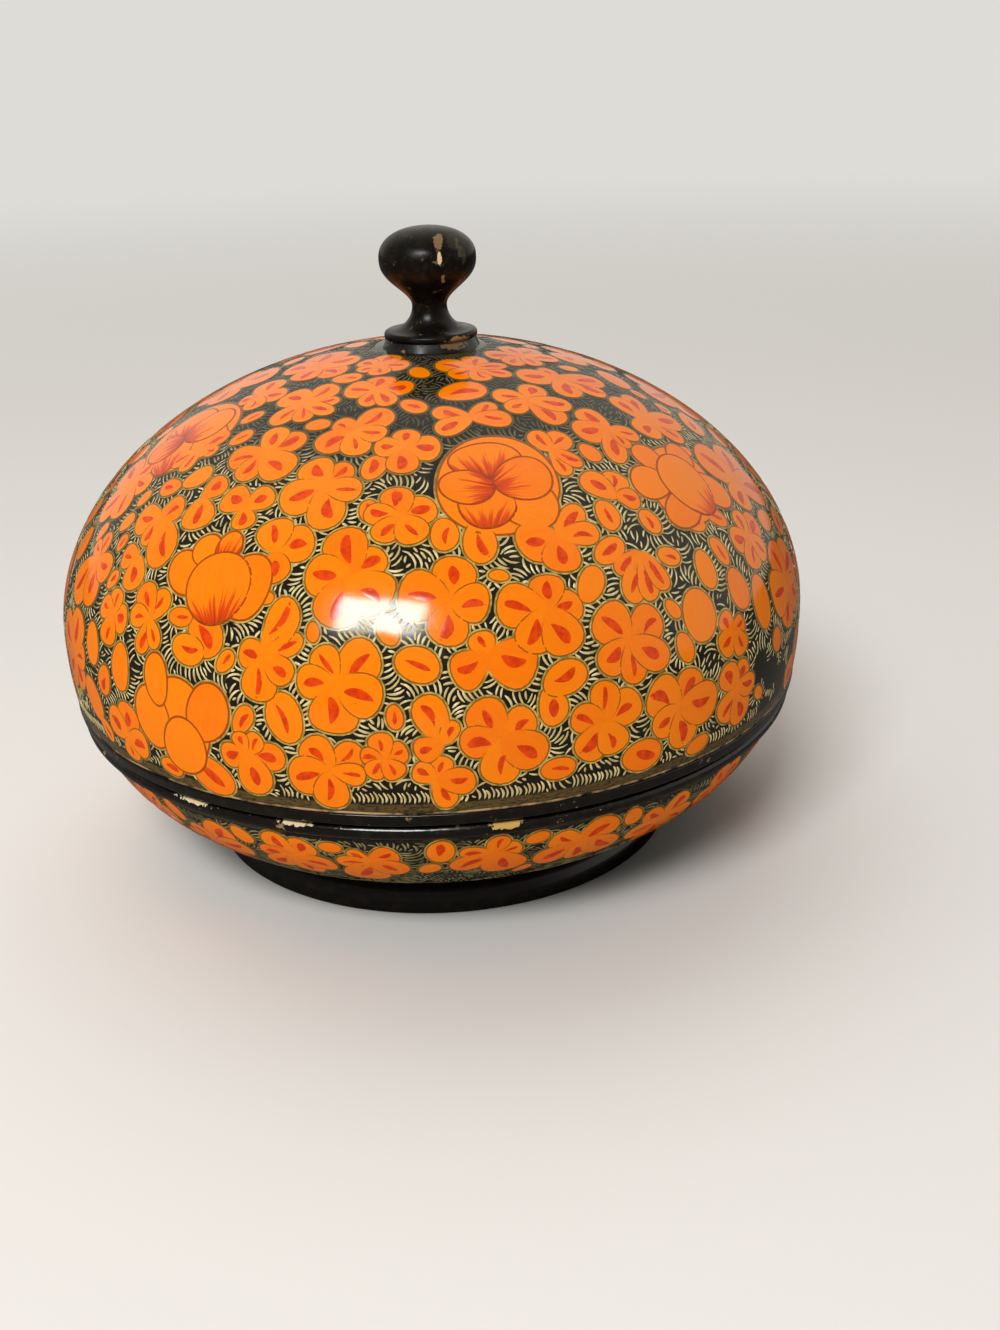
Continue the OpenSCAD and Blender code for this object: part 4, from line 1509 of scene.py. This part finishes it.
def ribbons(name, skin, path, width, material, **where):
    # Strokes of flat paint: four corners at each station, two on top and two sunk, closed at both ends
    count, stations = path.shape[:2]
    normal = normalAt(skin, path)
    side = unit(np.cross(normal, np.gradient(path, axis=1)))
    share = np.linspace(0, 1, stations)[None]
    wide = side * (0.5 * width[:, None] * (0.45 + 0.65 * np.sin(np.pi * share) ** 0.6))[..., None]
    top, sunk = normal * relief["hatchLift"], normal * -relief["sunk"]
    corners = np.stack([path - wide * 1.15 + sunk, path + wide * 1.15 + sunk,
                        path + wide * 0.85 + top, path - wide * 0.85 + top], 2)
    along = np.arange(stations - 1)[:, None] * 4
    edge = np.arange(4)[None]
    after = (edge + 1) % 4
    quads = np.stack([along + edge, along + 4 + edge, along + 4 + after, along + after], -1).reshape(-1, 4)
    ends = np.array([[0, 1, 2, 3], [3, 2, 1, 0]]) + np.array([[0], [4 * (stations - 1)]])
    one = np.concatenate([quads, ends])
    faces = (one[None] + (np.arange(count) * 4 * stations)[:, None, None]).reshape(-1, 4)
    makeMesh(name, corners, [faces], material, **where)


def bandStrokes(skin, petals, low, high, pitch, share=1.0):
    # A row of short upright strokes round the body between two heights, left out under the petals
    count = int(2 * math.pi * skin["belly"] / pitch)
    turn = np.arange(count) / count * 360 + dice.uniform(-0.08, 0.08, count)
    top = dropAt(skin, high + dice.uniform(-0.25, 0.25, count) * mm)
    foot = dropAt(skin, low + dice.uniform(-0.15, 0.15, count) * mm)
    along = np.linspace(0, 1, hatch["stations"])[None]
    drop = top[:, None] + along * (foot - top)[:, None]
    lean = 0.3 * np.sin(np.pi * along) + 0.25 * along * dice.uniform(0.4, 1.4, count)[:, None]
    path = standOn(skin, (turn[:, None] + lean).ravel(), drop.ravel())[0].reshape(count, -1, 3)
    ends = path[:, [0, middleStation, -1]].reshape(-1, 3)
    gap = gapsTo(ends, petals, nearest(ends, petals, 8)).min(-1).reshape(count, 3)
    return path[(gap > hatch["bandRoom"]).all(1) & (dice.uniform(0, 1, count) < share)]


def hatchSkin(label, skin, petals, low, high, band, material):
    path = addStrokes(band, crossStrokes(skin, petals, low, high), hatch["near"])
    path = addStrokes(path, edgeStrokes(skin, petals, low, high), hatch["apart"])
    path = addStrokes(path, looseStrokes(skin, petals, path, low, high), hatch["near"])
    # Two pieces, front and back, keep each within reach of an editor
    front = path[:, middleStation, 1] < 0
    for side, mine in (("Front", front), ("Back", ~front)):
        some = path[mine][:, ::2]
        width = hatch["width"] * dice.uniform(0.8, 1.2, len(some))
        ribbons(label + "Hatch" + side, skin, some, width, material, body=label, slotName="painted_" + label)
    print(label, "hatch strokes:", len(path))


lidBand = bandStrokes(lidSkin, lidPetals, 29.3 * mm, 31 * mm, 0.62 * mm)
hatchSkin("lid", lidSkin, lidPetals, 29.3 * mm, 79.4 * mm, lidBand, hatchPaint)
bowlBand = bandStrokes(bowlSkin, bowlPetals, 20.3 * mm, 21.8 * mm, 0.8 * mm, 0.7)
hatchSkin("bowl", bowlSkin, bowlPetals, 9 * mm, 22 * mm, bowlBand, bowlHatchPaint)

# The floor, the backdrop and the lights
stageLook = dict(
    floor=paint(232, 230, 226),
    floorSeen=paint(104, 102, 98),     # as the varnish reflects it
    backdrop=paint(222, 220, 215),
    far=paint(214, 210, 202), near=paint(100, 98, 94),
    black=(0, 0, 0, 1),
    fade=(0.2, 1.1),                   # where the floor starts and stops fading, in metres
)


def addFloor():
    floor = bpy.data.meshes.new("floor")
    floor.from_pydata([(-6, -6, 0), (6, -6, 0), (6, 6, 0), (-6, 6, 0)], [], [(0, 1, 2, 3)])
    ground = bpy.data.objects.new("floor", floor)
    material, bench, shader = newMaterial("floorPaper", 0.7)
    ray = bench.put("ShaderNodeLightPath").outputs
    # Far from the box the floor fades into the backdrop, which no lamp lights
    away = bench.step(bench.length(bench.place()), *stageLook["fade"])
    far = bench.times(ray["Is Camera Ray"], away)
    near = bench.blend(ray["Is Glossy Ray"], stageLook["floor"], stageLook["floorSeen"])
    bench.feed(shader.inputs["Base Color"], bench.blend(far, near, stageLook["black"]))
    bench.feed(shader.inputs["Emission Color"], bench.blend(far, stageLook["black"], stageLook["backdrop"]))
    shader.inputs["Emission Strength"].default_value = 1.0
    shader.inputs["Specular IOR Level"].default_value = 0.0
    floor.materials.append(material)
    bpy.context.scene.collection.objects.link(ground)


def addRoom():
    # The room is paler behind the box than in front of it. The varnish mirrors a pale right side, and
    # the paint is lit more from the left
    world = bpy.data.worlds.new("room")
    world.use_nodes = True
    room = Bench(world.node_tree)
    right, behind, _ = room.split(room.put("ShaderNodeTexCoord").outputs["Generated"])
    ray = room.put("ShaderNodeLightPath").outputs
    lean = room.minus(room.times(ray["Is Glossy Ray"], 1.5), 0.9)
    side = room.plus(behind, room.times(right, lean))
    shade = room.blend(room.step(side, -0.5, 0.7), stageLook["near"], stageLook["far"])
    background = world.node_tree.nodes["Background"]
    room.feed(background.inputs["Color"], room.blend(ray["Is Camera Ray"], shade, stageLook["backdrop"]))
    background.inputs["Strength"].default_value = 1.0
    bpy.context.scene.world = world


# Places and sizes in metres, powers in watts. The sky's panel isn't mirrored in the varnish
lights = [
    dict(name="window", place=(-0.2, -0.64, 0.66), size=(0.36, 0.22), power=5.75, mirrored=True),
    dict(name="skyPanel", place=(-0.2, 0.6, 1.3), size=(1.4, 1.0), power=5.0, mirrored=False),
]


def addLight(name, place, size, power, mirrored):
    # Each light faces the middle of the box
    data = bpy.data.lights.new(name, "AREA")
    data.shape = "RECTANGLE"
    data.size, data.size_y = size
    data.energy = power
    lamp = bpy.data.objects.new(name, data)
    lamp.visible_glossy = mirrored
    lamp.location = place
    lamp.rotation_euler = (Vector((0, 0, 0.045)) - Vector(place)).to_track_quat("-Z", "Y").to_euler()
    bpy.context.scene.collection.objects.link(lamp)


addFloor()
addRoom()
for light in lights:
    addLight(**light)
bpy.context.scene.view_settings.view_transform = "Standard"
print("stage and lights set")
